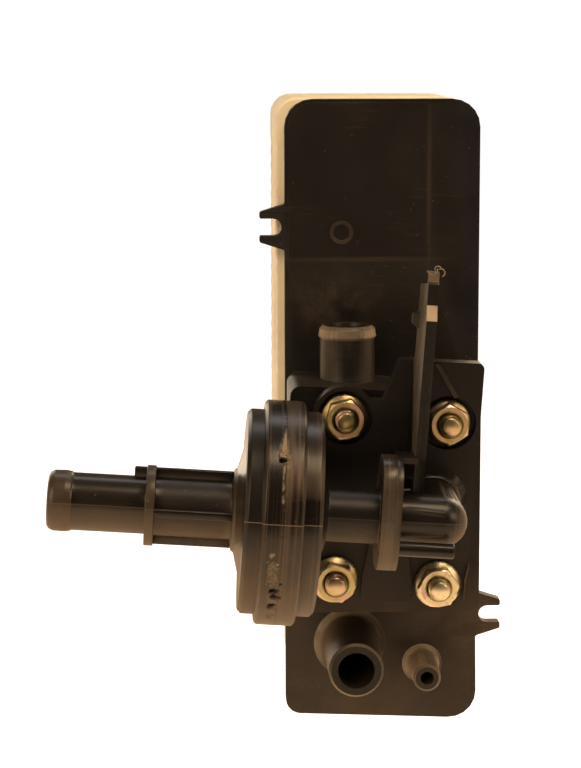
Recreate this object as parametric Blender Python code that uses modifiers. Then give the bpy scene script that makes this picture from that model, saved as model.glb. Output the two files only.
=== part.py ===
"""Hose-connected fill valve: a moulded front housing with a bolted inlet cover and an in-line check
valve in front, and a float in a fluted case behind. Sizes are in millimetres; the origin is the
middle of the flat back, +X right, +Z up and the front faces -Y."""
import bpy
import bmesh
from math import acos, cos, pi, radians, sin, tan
from mathutils import Matrix, Vector

MM = 0.001
GAP = 0.3            # running and seating gap between neighbouring pieces
ROUND = 40           # facets of a large turned piece
SMALL_ROUND = 20     # facets of a small turned piece
ARC = 5              # facets of a rounded corner
MANIFOLD_PARTS = ("front_housing", "inlet_cover")  # pieces whose many cuts need the sturdier solver

# Front housing plate
PANEL_W = 56.0
PANEL_H = 180.6
PANEL_T = 4.0
PANEL_FACE = -60.0                   # Y of the plate's front face
PANEL_BACK = PANEL_FACE + PANEL_T
HALF_W = PANEL_W / 2
HALF_H = PANEL_H / 2
PANEL_R = 8.0
PANEL_R_LOW_LEFT = 4.5
PANEL_SAG = 1.9                      # the foot runs lower on the right
PANEL_LIFT = 0.3                     # and higher on the left
PANEL_SPLAY = 0.4                    # the lower right corner stands out
FORK_REACH = 7.2
FORK_ROOT = 6.6                      # half height at the plate
FORK_TIP = 4.3                       # half height at the prong tips
FORK_SLOT = 2.5                      # half width of the clip slot
LEFT_FORK_Z = 53.9
RIGHT_FORK_Z = -60.5
PAD_RISE = 0.35
PAD_RIGHT = 13.4
PAD_LOW = 44.9
RING_X = -11.7
RING_Z = 52.4

# Valve chamber moulded on the plate
CHAMBER_X = (-27.5, 25.6)
CHAMBER_FOOT = -52.3
CHAMBER_TOP = (12.4, 9.2)              # left and right ends of the sloping top
CHAMBER_D = 28.0
CAVITY_X = (-21.0, 21.0)
CAVITY_Z = (-36.3, -4.3)
CAVITY_FLOOR = 3.0

# Spigots: outlet on top of the chamber, level and vent ports low on the plate
OUTLET_X = -10.6
OUTLET_DEPTH = 10.0
OUTLET_TOP = 27.0
OUTLET_R = 7.8
OUTLET_LIP_R = 8.2
OUTLET_LIP_H = 3.7
SPIGOT_BORE = 5.2
LEVEL_X = -9.1
LEVEL_Z = -68.7
LEVEL_L = 30.4
VENT_X = 12.3
VENT_Z = -75.3
VENT_L = 16.0
VENT_R = 4.05
VENT_BORE = 1.95

# Rear case
CASE_X = (-30.4, 27.0)
CASE_LOW_X = (-26.5, 25.5)
CASE_R = (6.0, 8.0)                  # upper left and upper right corners
CASE_TOP = 90.5
CASE_FOOT = -88.5
CASE_STEP = -24.3
CASE_RIM = PANEL_BACK + 2.0          # Y of the open front rim
CASE_BACK_T = 2.6
CASE_IN_X = (-25.2, 24.2)
CASE_IN_LOW_X = (-23.8, 22.8)
CASE_IN_TOP = 87.5
CASE_IN_FOOT = -85.5
FLUTE_PITCH = 4.5
FLUTE_DEPTH = 0.2
FLUTE_STEPS = 4
SEAL_T = 1.4

# Bolted valve unit: turned a little on the plate
UNIT_Z = -19.3
UNIT_TILT = radians(3.3)
FLOW_TILT = radians(0.5)             # extra turn of the flow axis within the unit
AXIS_V = 0.9                         # height of the elbow over the bolt centre
AXIS_D = 62.0                        # flow axis in front of the plate
BOLT_U = (-14.1, 14.5)
BOLT_V = (-22.9, 22.9)
STUD_R = 3.0
STUD_ROOT = 18.3
STUD_TIP = 42.5
NUT_H = 6.0
NUT_FLATS = 10.0
NUT_FLANGE_R = 6.6
GASKET_T = 1.0
COVER_BACK = CHAMBER_D + GAP + GASKET_T + GAP
COVER_T = 6.0
COVER_FACE = COVER_BACK + COVER_T
POCKET_FLOOR = COVER_BACK + 3.4
LOBE_R = 8.7
COVER_LEFT = -21.0
COVER_RIGHT = 22.8
COVER_RIGHT_TOP = 23.4
COVER_LOW = -28.0
COVER_TOP_LEFT = 28.2
COVER_TOP_RIGHT = 39.8
PORT_U = 11.2
PIPE_R = 6.9
PIPE_BORE = 5.0
NOZZLE_R = 6.5
NOZZLE_BORE = 4.0
NOZZLE_L = 6.0

# Flange joint between the elbow and the check valve, about the flow axis
JOINT_LEFT = (-5.6, -2.2)
JOINT_RIGHT = (-1.9, -0.4)
JOINT_LOW = -13.5
JOINT_HIGH = 16.9
JOINT_HALF_D = 11.0
JOINT_SCREWS = [(-8.0, -6.2), (8.0, 8.1)]
BOSS_R = 2.0
BOSS_ENDS = (14.2, 6.0)
SCREW_R = 0.9
SCREW_HEAD_R = 1.7
SCREW_END = 5.0
JOINT_RING_R = 6.9
JOINT_RING_WIRE = 0.75

# Latch blade on the elbow
BLADE_U = (3.2, 6.0)
BLADE_LEAN = radians(0.9)
BLADE_FOOT = 4.0
BLADE_SHOULDER = 54.0
BLADE_TOP = 66.6
BLADE_FRONT = AXIS_D - 1.0

# In-line check valve, sizes along and across the flow axis
INLET_END = -92.6
COLLAR = (-67.0, -64.6)
COLLAR_R = 10.6
RIB_R = 10.2
RIB_T = 2.0
TOP_RIB_START = -70.3
BARB_R = 7.6
DRUM_LEFT = -41.6
DRUM_RIGHT = -21.6
RIM_R = 27.0
BAND = (-37.1, -26.5)
BAND_R = 29.6
SEAM = -31.8
DRUM_CAVITY = (-38.6, -24.4)
DRUM_CAVITY_R = 24.0
SEAT = -36.4
POPPET_TRAVEL = 2.0
POPPET_R = 10.5
GUIDE = (-27.5, -25.0)
GUIDE_HUB_R = 3.4
CHECK_WIRE = 0.35
CHECK_COIL_R = 2.5
CHECK_TURNS = 2.5

# Float gear behind the plate
STEM_R = 2.0
GUIDE_BOSS_L = 3.5
WASHER_R = 7.0
WASHER_T = 3.0
STEM_TRAVEL = 3.28
PIVOT_Y = -44.0
LEVER = 9.0                          # stem axis over the pivot
PIN_R = 1.5
CROSS_PIN_R = 1.0
CHEEK = (2.7, 4.7)
LUG = (5.6, 8.6)
FLOAT_X = (-22.0, 20.0)
FLOAT_Y = (-37.5, -6.5)
FLOAT_BELOW = 11.0
FLOAT_ABOVE = 25.0
FLOAT_WALL = 1.8


def clear_scene():
    for obj in list(bpy.data.objects):
        bpy.data.objects.remove(obj, do_unlink=True)


def make_collection(name):
    group = bpy.data.collections.new(name)
    bpy.context.scene.collection.children.link(group)
    return group


def make_material(name, colour, roughness, metallic=0.0):
    mat = bpy.data.materials.new(name)
    mat.use_nodes = True
    shader = mat.node_tree.nodes["Principled BSDF"]
    shader.inputs["Base Color"].default_value = (*colour, 1.0)
    shader.inputs["Roughness"].default_value = roughness
    shader.inputs["Metallic"].default_value = metallic
    return mat


clear_scene()
PARTS = make_collection("fill_valve")
TOOLS = make_collection("cutters")

BLACK = make_material("black_plastic", (0.020, 0.017, 0.014), 0.45)
GLOSS = make_material("gloss_black_plastic", (0.024, 0.019, 0.015), 0.25)
CREAM = make_material("cream_plastic", (0.80, 0.72, 0.55), 0.55)
RUBBER = make_material("black_rubber", (0.015, 0.015, 0.015), 0.8)
ZINC = make_material("yellow_zinc", (0.62, 0.48, 0.20), 0.3, 1.0)
STEEL = make_material("stainless_steel", (0.55, 0.55, 0.53), 0.3, 1.0)
ACETAL = make_material("white_acetal", (0.80, 0.79, 0.75), 0.4)
FOAM = make_material("float_plastic", (0.70, 0.66, 0.56), 0.6)


# Placement
def make_empty(name, place, parent=None, turn=0.0):
    empty = bpy.data.objects.new(name, None)
    empty.location = Vector(place) * MM
    empty.rotation_euler = (0.0, turn, 0.0)
    empty.parent = parent
    PARTS.objects.link(empty)
    return empty


ALONG_X = Matrix.Rotation(pi / 2, 4, "Y")
FORWARD = Matrix.Rotation(pi / 2, 4, "X")
UPRIGHT = Matrix.Identity(4)
SIDE_PLANE = Matrix(((0, 0, 1, 0), (1, 0, 0, 0), (0, 1, 0, 0), (0, 0, 0, 1)))


def ahead(depth):
    """Y of a point that lies depth in front of the plate's face."""
    return PANEL_FACE - depth


def moved(x, y, z, turn=UPRIGHT):
    return Matrix.Translation((x, y, z)) @ turn


# Shapes
def finish_mesh(mesh, place):
    """Place a shape given in millimetres, weld it and turn its faces out."""
    mesh.transform(Matrix.Scale(MM, 4) @ place)
    shape = bmesh.new()
    shape.from_mesh(mesh)
    bmesh.ops.remove_doubles(shape, verts=shape.verts, dist=0.000001)
    bmesh.ops.recalc_face_normals(shape, faces=shape.faces)
    shape.to_mesh(mesh)
    shape.free()
    mesh.shade_smooth()
    mesh.set_sharp_from_angle(angle=radians(35))
    for face in mesh.polygons:
        if len(face.vertices) > 4:
            face.use_smooth = False
    return mesh


def bake(temporary, place):
    """Turn a curve or a modified mesh into a plain placed mesh."""
    bpy.context.scene.collection.objects.link(temporary)
    graph = bpy.context.evaluated_depsgraph_get()
    mesh = bpy.data.meshes.new_from_object(temporary.evaluated_get(graph))
    bpy.data.objects.remove(temporary)
    return finish_mesh(mesh, place)


def turned(profile, place=UPRIGHT, steps=ROUND, closed=False):
    """Turn a profile of (radius, height) points, outer side first and from the top down."""
    points = [(r, 0.0, h) for r, h in profile]
    edges = [(i, i + 1) for i in range(len(points) - 1)]
    if closed:
        edges.append((len(points) - 1, 0))
    mesh = bpy.data.meshes.new("profile")
    mesh.from_pydata(points, edges, [])
    temporary = bpy.data.objects.new("profile", mesh)
    screw = temporary.modifiers.new("turn", "SCREW")
    screw.axis = "Z"
    screw.steps = steps
    screw.render_steps = steps
    screw.use_merge_vertices = True
    screw.merge_threshold = 0.0001
    return bake(temporary, place)


def rod(radius, low, high, place=UPRIGHT, steps=SMALL_ROUND, chamfer=0.0):
    """A round bar along its own Z, with both ends chamfered where asked."""
    if chamfer == 0.0:
        return turned([(0, high), (radius, high), (radius, low), (0, low)], place, steps)
    slim = radius - chamfer
    profile = [(0, high), (slim, high), (radius, high - chamfer)]
    profile += [(radius, low + chamfer), (slim, low), (0, low)]
    return turned(profile, place, steps)


def sleeve(outer, inner, low, high, place=UPRIGHT, steps=SMALL_ROUND):
    profile = [(outer, high), (outer, low), (inner, low), (inner, high)]
    return turned(profile, place, steps, closed=True)


def hoop(major, minor, place, steps=28, sides=8):
    """A ring of round section about its own Z."""
    angles = [2 * pi * i / sides for i in range(sides)]
    profile = [(major + minor * cos(a), -minor * sin(a)) for a in angles]
    return turned(profile, place, steps, closed=True)


def rounded(corners):
    """Outline with the corner (x, y, radius) of each point replaced by an arc."""
    outline = []
    count = len(corners)
    for i, (x, y, radius) in enumerate(corners):
        here = Vector((x, y))
        back = (Vector(corners[i - 1][:2]) - here).normalized()
        on = (Vector(corners[(i + 1) % count][:2]) - here).normalized()
        half = acos(max(-1.0, min(1.0, back.dot(on)))) / 2
        if radius <= 0.0 or half > radians(89.5):
            outline.append((x, y))
            continue
        middle = here + (back + on).normalized() * (radius / sin(half))
        start = here + back * (radius / tan(half)) - middle
        sweep = pi - 2 * half
        if back.cross(on) > 0:
            sweep = -sweep
        for step in range(ARC + 1):
            turn = Matrix.Rotation(sweep * step / ARC, 2)
            outline.append(tuple(middle + turn @ start))
    return outline


def slab(outline, low, high, place=FORWARD):
    """A flat outline made solid between two heights along its own Z."""
    curve = bpy.data.curves.new("outline", "CURVE")
    curve.dimensions = "2D"
    curve.fill_mode = "BOTH"
    curve.extrude = (high - low) / 2
    spline = curve.splines.new("POLY")
    spline.points.add(len(outline) - 1)
    for point, (x, y) in zip(spline.points, outline):
        point.co = (x, y, 0.0, 1.0)
    spline.use_cyclic_u = True
    temporary = bpy.data.objects.new("outline", curve)
    return bake(temporary, place @ Matrix.Translation((0, 0, (high + low) / 2)))


def frame_slab(x, z, low, high, radius=0.0, place=FORWARD):
    corners = [(x[0], z[0], radius), (x[1], z[0], radius), (x[1], z[1], radius), (x[0], z[1], radius)]
    return slab(rounded(corners), low, high, place)


def block(x, y, z, round_over=0.0):
    """A box between two corners, given as one range for each axis."""
    shape = bmesh.new()
    bmesh.ops.create_cube(shape, size=1.0)
    size = Vector((x[1] - x[0], y[1] - y[0], z[1] - z[0]))
    centre = Vector((x[0] + x[1], y[0] + y[1], z[0] + z[1])) / 2
    bmesh.ops.scale(shape, vec=size, verts=shape.verts)
    if round_over > 0.0:
        bmesh.ops.bevel(shape, geom=shape.edges[:], offset=round_over, segments=2, affect="EDGES", profile=0.5)
    mesh = bpy.data.meshes.new("block")
    shape.to_mesh(mesh)
    shape.free()
    return finish_mesh(mesh, Matrix.Translation(centre))


def ball(radius, place, steps=24):
    arcs = steps // 2
    angles = [pi / 2 - pi * i / arcs for i in range(arcs + 1)]
    profile = [(radius * cos(a), radius * sin(a)) for a in angles]
    profile[0] = (0.0, radius)
    profile[-1] = (0.0, -radius)
    return turned(profile, place, steps)


# Assembly
def add_part(name, mesh, material, parent=None):
    obj = bpy.data.objects.new(name, mesh)
    obj.parent = parent
    PARTS.objects.link(obj)
    mesh.materials.clear()
    mesh.materials.append(material)
    return obj


def combine(part, mesh, operation, parent=None):
    """Join a shape to a part, or cut it away, through a helper object."""
    helper = bpy.data.objects.new(part.name + "_" + operation.lower(), mesh)
    helper.parent = parent
    helper.hide_render = True
    helper.display_type = "WIRE"
    TOOLS.objects.link(helper)
    step = part.modifiers.new(operation.lower(), "BOOLEAN")
    step.operation = operation
    step.solver = "MANIFOLD" if part.name in MANIFOLD_PARTS else "EXACT"
    step.object = helper


def join(part, mesh, parent=None):
    combine(part, mesh, "UNION", parent)


def cut(part, mesh, parent=None):
    combine(part, mesh, "DIFFERENCE", parent)


UNIT = make_empty("valve_unit", (0, PANEL_FACE, UNIT_Z), turn=UNIT_TILT)


def unit_point(u, depth, v):
    """World place, in millimetres, of a point of the turned valve unit."""
    x = u * cos(UNIT_TILT) + v * sin(UNIT_TILT)
    z = UNIT_Z - u * sin(UNIT_TILT) + v * cos(UNIT_TILT)
    return Vector((x, PANEL_FACE - depth, z))


STEM_X, _, STEM_Z = unit_point(PORT_U, 0.0, AXIS_V)
PIVOT_Z = STEM_Z - LEVER
BOLTS = [(u, v) for v in reversed(BOLT_V) for u in BOLT_U]
FLOW_LEFT = PORT_U * (1 - cos(FLOW_TILT))
FLOW_RISE = PORT_U * sin(FLOW_TILT)
FLOW = make_empty("flow_axis", (FLOW_LEFT, -AXIS_D, AXIS_V + FLOW_RISE), UNIT, FLOW_TILT)


# Front housing
def fork(side, z):
    """Corners of one clip fork, listed upwards on the right side and downwards on the left."""
    root = HALF_W * side
    tip = (HALF_W + FORK_REACH) * side
    inner = (HALF_W + 0.9) * side
    corners = [(root, -FORK_ROOT, 0.8), (tip, -FORK_TIP, 0.7), (tip, -FORK_SLOT, 0.5)]
    corners += [(inner, -FORK_SLOT, FORK_SLOT - 0.02), (inner, FORK_SLOT, FORK_SLOT - 0.02)]
    corners += [(tip, FORK_SLOT, 0.5), (tip, FORK_TIP, 0.7), (root, FORK_ROOT, 0.8)]
    return [(x, z + dz * side, r) for x, dz, r in corners]


def plate_outline():
    corners = [(-HALF_W, PANEL_LIFT - HALF_H, PANEL_R_LOW_LEFT)]
    corners += [(HALF_W + PANEL_SPLAY, -HALF_H - PANEL_SAG, PANEL_R)]
    corners += fork(1, RIGHT_FORK_Z)
    corners += [(HALF_W, HALF_H, PANEL_R), (-HALF_W, HALF_H, PANEL_R)]
    corners += fork(-1, LEFT_FORK_Z)
    return rounded(corners)


def flared_spigot(radius, flare, length):
    """Profile of a slightly tapered spigot with a fillet at its foot, mouth first."""
    profile = [(0, length), (radius - 0.7, length), (radius, length - 0.8), (radius + 0.3, flare)]
    for step in range(1, 4):
        angle = radians(30 * step)
        profile.append((radius + 0.3 + flare * (1 - cos(angle)), flare * (1 - sin(angle))))
    foot = profile[-1][0]
    return profile + [(foot, -1.0), (0, -1.0)]


def build_front_housing():
    front = -PANEL_FACE
    back = -PANEL_BACK
    housing = add_part("front_housing", slab(plate_outline(), back, front), BLACK)
    pad = [(1 - HALF_W, PAD_LOW, 0.3), (PAD_RIGHT, PAD_LOW, 0.3)]
    pad += [(PAD_RIGHT, HALF_H - 1, 0.3), (1 - HALF_W, HALF_H - 1, PANEL_R - 1)]
    join(housing, slab(rounded(pad), front - 1, front + PAD_RISE))
    ring_place = moved(RING_X, PANEL_FACE, RING_Z, FORWARD)
    join(housing, sleeve(3.4, 2.3, -0.5, PAD_RISE + 0.4, ring_place))
    chamber = [(CHAMBER_X[0], CHAMBER_FOOT, 3), (CHAMBER_X[1], CHAMBER_FOOT, 3)]
    chamber += [(CHAMBER_X[1], CHAMBER_TOP[1], 3), (CHAMBER_X[0], CHAMBER_TOP[0], 3)]
    join(housing, slab(rounded(chamber), front - 1, front + CHAMBER_D))
    outlet_place = moved(OUTLET_X, ahead(OUTLET_DEPTH), 0)
    lip_low = OUTLET_TOP - OUTLET_LIP_H
    outlet = [(0, OUTLET_TOP), (OUTLET_LIP_R - 1.2, OUTLET_TOP), (OUTLET_LIP_R - 0.3, OUTLET_TOP - 1.0)]
    outlet += [(OUTLET_LIP_R, lip_low + 0.6), (OUTLET_R, lip_low), (OUTLET_R, 0), (0, 0)]
    join(housing, turned(outlet, outlet_place, 32))
    join(housing, turned(flared_spigot(OUTLET_R, 2.4, LEVEL_L), moved(LEVEL_X, PANEL_FACE, LEVEL_Z, FORWARD), 32))
    join(housing, turned(flared_spigot(VENT_R, 1.6, VENT_L), moved(VENT_X, PANEL_FACE, VENT_Z, FORWARD), 24))
    stem_place = moved(STEM_X, 0, STEM_Z, FORWARD)
    join(housing, rod(6.0, back - GUIDE_BOSS_L, back + 1, stem_place))
    for side in (-1, 1):
        low, high = sorted((STEM_X + side * LUG[0], STEM_X + side * LUG[1]))
        lug = [(PANEL_BACK - 1, PIVOT_Z - 6, 0), (PIVOT_Y + 1, PIVOT_Z - 4, 2), (PIVOT_Y + 4, PIVOT_Z, 2)]
        lug += [(PIVOT_Y + 1, PIVOT_Z + 4, 2), (PANEL_BACK - 1, PIVOT_Z + 6, 0)]
        join(housing, slab(rounded(lug), low, high, SIDE_PLANE))
    cut(housing, frame_slab(CAVITY_X, CAVITY_Z, front + CAVITY_FLOOR, front + CHAMBER_D + 1, 4.0))
    cut(housing, rod(SPIGOT_BORE, CAVITY_Z[1] - 1, OUTLET_TOP + 1, outlet_place, 24))
    cut(housing, rod(SPIGOT_BORE, -PANEL_T - 1, LEVEL_L + 1, moved(LEVEL_X, PANEL_FACE, LEVEL_Z, FORWARD), 24))
    cut(housing, rod(VENT_BORE, -PANEL_T - 1, VENT_L + 1, moved(VENT_X, PANEL_FACE, VENT_Z, FORWARD)))
    cut(housing, rod(STEM_R + GAP, back - 8, front + 5, stem_place))
    cut(housing, rod(4.2, back + 0.8, back + 3.2, stem_place))
    cut(housing, rod(PIN_R + GAP, -9.5, 9.5, moved(STEM_X, PIVOT_Y, PIVOT_Z, ALONG_X)))
    for u, v in BOLTS:
        cut(housing, rod(STUD_R + GAP, STUD_ROOT - GAP, CHAMBER_D + 1, moved(u, 0, v, FORWARD)), UNIT)


# Rear case
def fluted_side(x, outward, low, high):
    """Upward points of a side wall with shallow rounded flutes across its height."""
    count = int((high - low) / FLUTE_PITCH)
    start = (low + high - count * FLUTE_PITCH) / 2
    points = []
    for step in range(count * FLUTE_STEPS + 1):
        wave = (1 - cos(2 * pi * step / FLUTE_STEPS)) / 2
        points.append((x - outward * FLUTE_DEPTH * wave, start + step * FLUTE_PITCH / FLUTE_STEPS))
    return points


def case_outline():
    right = fluted_side(CASE_X[1], 1, CASE_STEP + 6, CASE_TOP - 12)
    left = fluted_side(CASE_X[0], -1, CASE_STEP + 6, CASE_TOP - 12)
    corners = [(CASE_LOW_X[0], CASE_FOOT, 5), (CASE_LOW_X[1], CASE_FOOT, 5)]
    corners += [(CASE_LOW_X[1], CASE_STEP - 3, 0.6), (CASE_X[1], CASE_STEP, 0.6)]
    corners += [(x, z, 0) for x, z in right]
    corners += [(CASE_X[1], CASE_TOP, CASE_R[1]), (CASE_X[0], CASE_TOP, CASE_R[0])]
    corners += [(x, z, 0) for x, z in reversed(left)]
    corners += [(CASE_X[0], CASE_STEP, 0.6), (CASE_LOW_X[0], CASE_STEP - 3, 0.6)]
    return rounded(corners)


def stepped_outline(wide, slim, top, foot, step, inset, radius):
    """The case's plain outline drawn in by an inset on every side."""
    corners = [(slim[0] + inset, foot + inset, radius), (slim[1] - inset, foot + inset, radius)]
    corners += [(slim[1] - inset, step - 3 + inset, 0.6), (wide[1] - inset, step + inset, 0.6)]
    corners += [(wide[1] - inset, top - inset, radius), (wide[0] + inset, top - inset, radius)]
    corners += [(wide[0] + inset, step + inset, 0.6), (slim[0] + inset, step - 3 + inset, 0.6)]
    return rounded(corners)


def inner_outline(inset):
    return stepped_outline(CASE_IN_X, CASE_IN_LOW_X, CASE_IN_TOP, CASE_IN_FOOT, CASE_STEP, inset, 5.0)


def build_rear_case():
    case = add_part("rear_case", slab(case_outline(), 0.0, -CASE_RIM), CREAM)
    cut(case, slab(inner_outline(0.0), CASE_BACK_T, -CASE_RIM + 1))
    seal_low = -CASE_RIM + GAP
    seal = add_part("case_seal", slab(inner_outline(-1.9), seal_low, seal_low + SEAL_T), RUBBER)
    cut(seal, slab(inner_outline(-0.2), seal_low - 1, seal_low + SEAL_T + 1))


# Inlet cover with its elbow
def cover_outline():
    corners = [(COVER_LEFT, COVER_LOW, 3), (COVER_RIGHT, COVER_LOW, 3), (COVER_RIGHT_TOP, COVER_TOP_RIGHT, 1.6)]
    corners += [(0.0, COVER_TOP_RIGHT, 1), (-3.9, COVER_TOP_LEFT, 1), (COVER_LEFT, COVER_TOP_LEFT, 2)]
    return rounded(corners)


def joint_outline():
    """Upright oval of the flange joint, in depth and height about the flow axis."""
    d = JOINT_HALF_D
    radius = d - 1.5
    corners = [(-d, JOINT_LOW, radius), (d, JOINT_LOW, radius), (d, JOINT_HIGH, radius), (-d, JOINT_HIGH, radius)]
    return rounded(corners)


def blade_mesh():
    """Latch blade: a deep upright web with a sloping shoulder and a thin tip, leaning from its foot."""
    front = -BLADE_FRONT
    back = -COVER_FACE + 0.5
    corners = [(back, BLADE_FOOT, 0), (front, BLADE_FOOT, 0), (front, BLADE_SHOULDER, 0.6)]
    corners += [(front + 2.2, BLADE_SHOULDER + 3.6, 0.6), (front + 2.2, BLADE_TOP - 3.2, 0.4)]
    corners += [(front + 3.4, BLADE_TOP - 2.8, 0.4), (front + 3.4, BLADE_TOP, 0.4), (front + 5.0, BLADE_TOP, 0.4)]
    corners += [(front + 5.0, BLADE_TOP - 3.2, 0), (back - 3, BLADE_TOP - 5.4, 0.6)]
    corners += [(back - 3, COVER_TOP_RIGHT + 3, 1), (back, COVER_TOP_RIGHT - 1, 0)]
    foot = sum(BLADE_U) / 2
    lean = moved(foot, 0, BLADE_FOOT, Matrix.Rotation(BLADE_LEAN, 4, "Y")) @ Matrix.Translation((-foot, 0, -BLADE_FOOT))
    return slab(rounded(corners), *BLADE_U, lean @ SIDE_PLANE)


def nut_pocket(u, v):
    """Recess that seats one flange nut; the lower ones flare open towards the elbow."""
    reach = 7.6
    if v > 0:
        return rod(reach, POCKET_FLOOR, COVER_FACE + 1, moved(u, 0, v, FORWARD), 24)
    mouth = v + 12.5
    corners = [(u - reach, v - 9, 0), (u + reach, v - 9, 0), (u + reach, v + 1, 2)]
    corners += [(u + 9.4, mouth, 1), (u - 9.4, mouth, 1), (u - reach, v + 1, 2)]
    return slab(rounded(corners), POCKET_FLOOR, COVER_FACE + 1)


def build_inlet_cover():
    cover = add_part("inlet_cover", slab(cover_outline(), COVER_BACK, COVER_FACE), BLACK, UNIT)
    corner_bolt = moved(*BOLTS[0][:1], 0, BOLTS[0][1], FORWARD)
    join(cover, rod(LOBE_R, COVER_BACK, COVER_FACE - 0.4, corner_bolt, 28), UNIT)
    for u, v in BOLTS:
        cut(cover, nut_pocket(u, v), UNIT)
    port = moved(PORT_U, 0, AXIS_V, FORWARD)
    collar = [(0, COVER_FACE + 3.2), (PIPE_R + 0.4, COVER_FACE + 3.2), (PIPE_R + 1.2, COVER_FACE + 1.2)]
    collar += [(PIPE_R + 3.0, COVER_FACE + 0.3), (PIPE_R + 3.0, COVER_BACK + 1), (0, COVER_BACK + 1)]
    join(cover, turned(collar, port, 32), UNIT)
    join(cover, rod(PIPE_R, COVER_BACK + 1, AXIS_D, port, 32), UNIT)
    join(cover, ball(PIPE_R, moved(PORT_U, 0, 0, ALONG_X), 28), FLOW)
    join(cover, rod(PIPE_R, JOINT_RIGHT[0] + 0.5, PORT_U, ALONG_X, 32), FLOW)
    join(cover, slab(joint_outline(), *JOINT_RIGHT, SIDE_PLANE), FLOW)
    join(cover, rod(NOZZLE_R, COVER_BACK - NOZZLE_L, COVER_BACK + 1, port, 24), UNIT)
    for (y, z), end in zip(JOINT_SCREWS, BOSS_ENDS):
        join(cover, rod(BOSS_R, JOINT_RIGHT[0] + 0.5, end, moved(0, y, z, ALONG_X), chamfer=0.3), FLOW)
    join(cover, blade_mesh(), UNIT)
    lip = block((JOINT_RIGHT[0] + 0.2, BLADE_U[0] + 0.5), (-2, 8), (JOINT_HIGH - 1.6, JOINT_HIGH - 0.1))
    join(cover, lip, FLOW)
    nub = rounded([(BLADE_U[0] + 1.6, 49.0, 0), (BLADE_U[0] + 1.6, 54.4, 0), (2.2, 53.2, 0.6), (2.2, 50.6, 0.6)])
    join(cover, slab(nub, COVER_FACE + 3.0, COVER_FACE + 7.0), UNIT)
    rib = [(9.6, COVER_TOP_RIGHT - 0.6, 0), (10.9, COVER_TOP_RIGHT - 0.6, 0), (16.6, 30.6, 0), (15.5, 30.0, 0)]
    join(cover, slab(rounded(rib), COVER_FACE - 1, COVER_FACE + 1.2), UNIT)
    cut(cover, rod(PIPE_BORE, COVER_BACK + 1, AXIS_D, port, 24), UNIT)
    cut(cover, rod(NOZZLE_BORE, COVER_BACK - NOZZLE_L - 1, COVER_BACK + 2, port, 24), UNIT)
    cut(cover, ball(PIPE_BORE, moved(PORT_U, 0, 0, ALONG_X)), FLOW)
    cut(cover, rod(PIPE_BORE, JOINT_RIGHT[0] - 1, PORT_U, ALONG_X, 24), FLOW)
    for y, z in JOINT_SCREWS:
        cut(cover, rod(SCREW_R + GAP, JOINT_RIGHT[0] - 1, SCREW_END + GAP, moved(0, y, z, ALONG_X), 12), FLOW)
    for u, v in BOLTS:
        cut(cover, rod(STUD_R + GAP, COVER_BACK - 1, COVER_FACE + 1, moved(u, 0, v, FORWARD)), UNIT)


def build_cover_gasket():
    low = CHAMBER_D + GAP
    high = low + GASKET_T
    sheet = frame_slab((COVER_LEFT + 0.5, COVER_RIGHT - 0.5), (COVER_LOW + 0.5, COVER_TOP_LEFT - 0.5), low, high, 3.0)
    gasket = add_part("cover_gasket", sheet, RUBBER, UNIT)
    cut(gasket, frame_slab((-19.0, 19.5), (-15.5, 13.8), low - 1, high + 1, 4.0), UNIT)
    for u, v in BOLTS:
        cut(gasket, rod(STUD_R + GAP, low - 1, high + 1, moved(u, 0, v, FORWARD)), UNIT)


# Studs and flange nuts
def nut_mesh_parts():
    """The turned flange and the hexagon of a flange nut, seat at height 0."""
    bore = STUD_R + GAP
    flange = [(NUT_FLATS / 2 - 0.6, 2.4), (NUT_FLANGE_R - 0.5, 1.5), (NUT_FLANGE_R, 0.9), (NUT_FLANGE_R - 0.3, 0)]
    flange += [(bore, 0), (bore, 2.4)]
    corner_r = NUT_FLATS / 2 / cos(pi / 6)
    hexagon = [(corner_r * cos(pi / 3 * i), corner_r * sin(pi / 3 * i)) for i in range(6)]
    top = [(corner_r - 0.8, NUT_H), (corner_r + 0.4, NUT_H - 0.9), (corner_r + 0.4, 0.2)]
    top += [(bore, 0.2), (bore, NUT_H - 0.4), (bore + 0.5, NUT_H)]
    return flange, hexagon, top


def build_fasteners():
    flange, hexagon, top = nut_mesh_parts()
    for number, (u, v) in enumerate(BOLTS, 1):
        place = moved(u, 0, v, FORWARD)
        tip = [(0, STUD_TIP), (STUD_R - 0.7, STUD_TIP), (STUD_R, STUD_TIP - 0.8), (STUD_R, STUD_ROOT), (0, STUD_ROOT)]
        add_part(f"stud_{number}", turned(tip, place, SMALL_ROUND), ZINC, UNIT)
        twist = Matrix.Rotation(radians(17 * number), 4, "Z")
        seat = place @ Matrix.Translation((0, 0, POCKET_FLOOR + GAP)) @ twist
        nut = add_part(f"flange_nut_{number}", turned(top, seat, 24, closed=True), ZINC, UNIT)
        combine(nut, slab(hexagon, 0.1, NUT_H + 1, seat), "INTERSECT", UNIT)
        join(nut, turned(flange, seat, 24, closed=True), UNIT)


# In-line check valve
def upward(points):
    """Profile from (place along the axis, radius) pairs listed inlet first."""
    return [(r, u) for u, r in reversed(points)]


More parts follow.
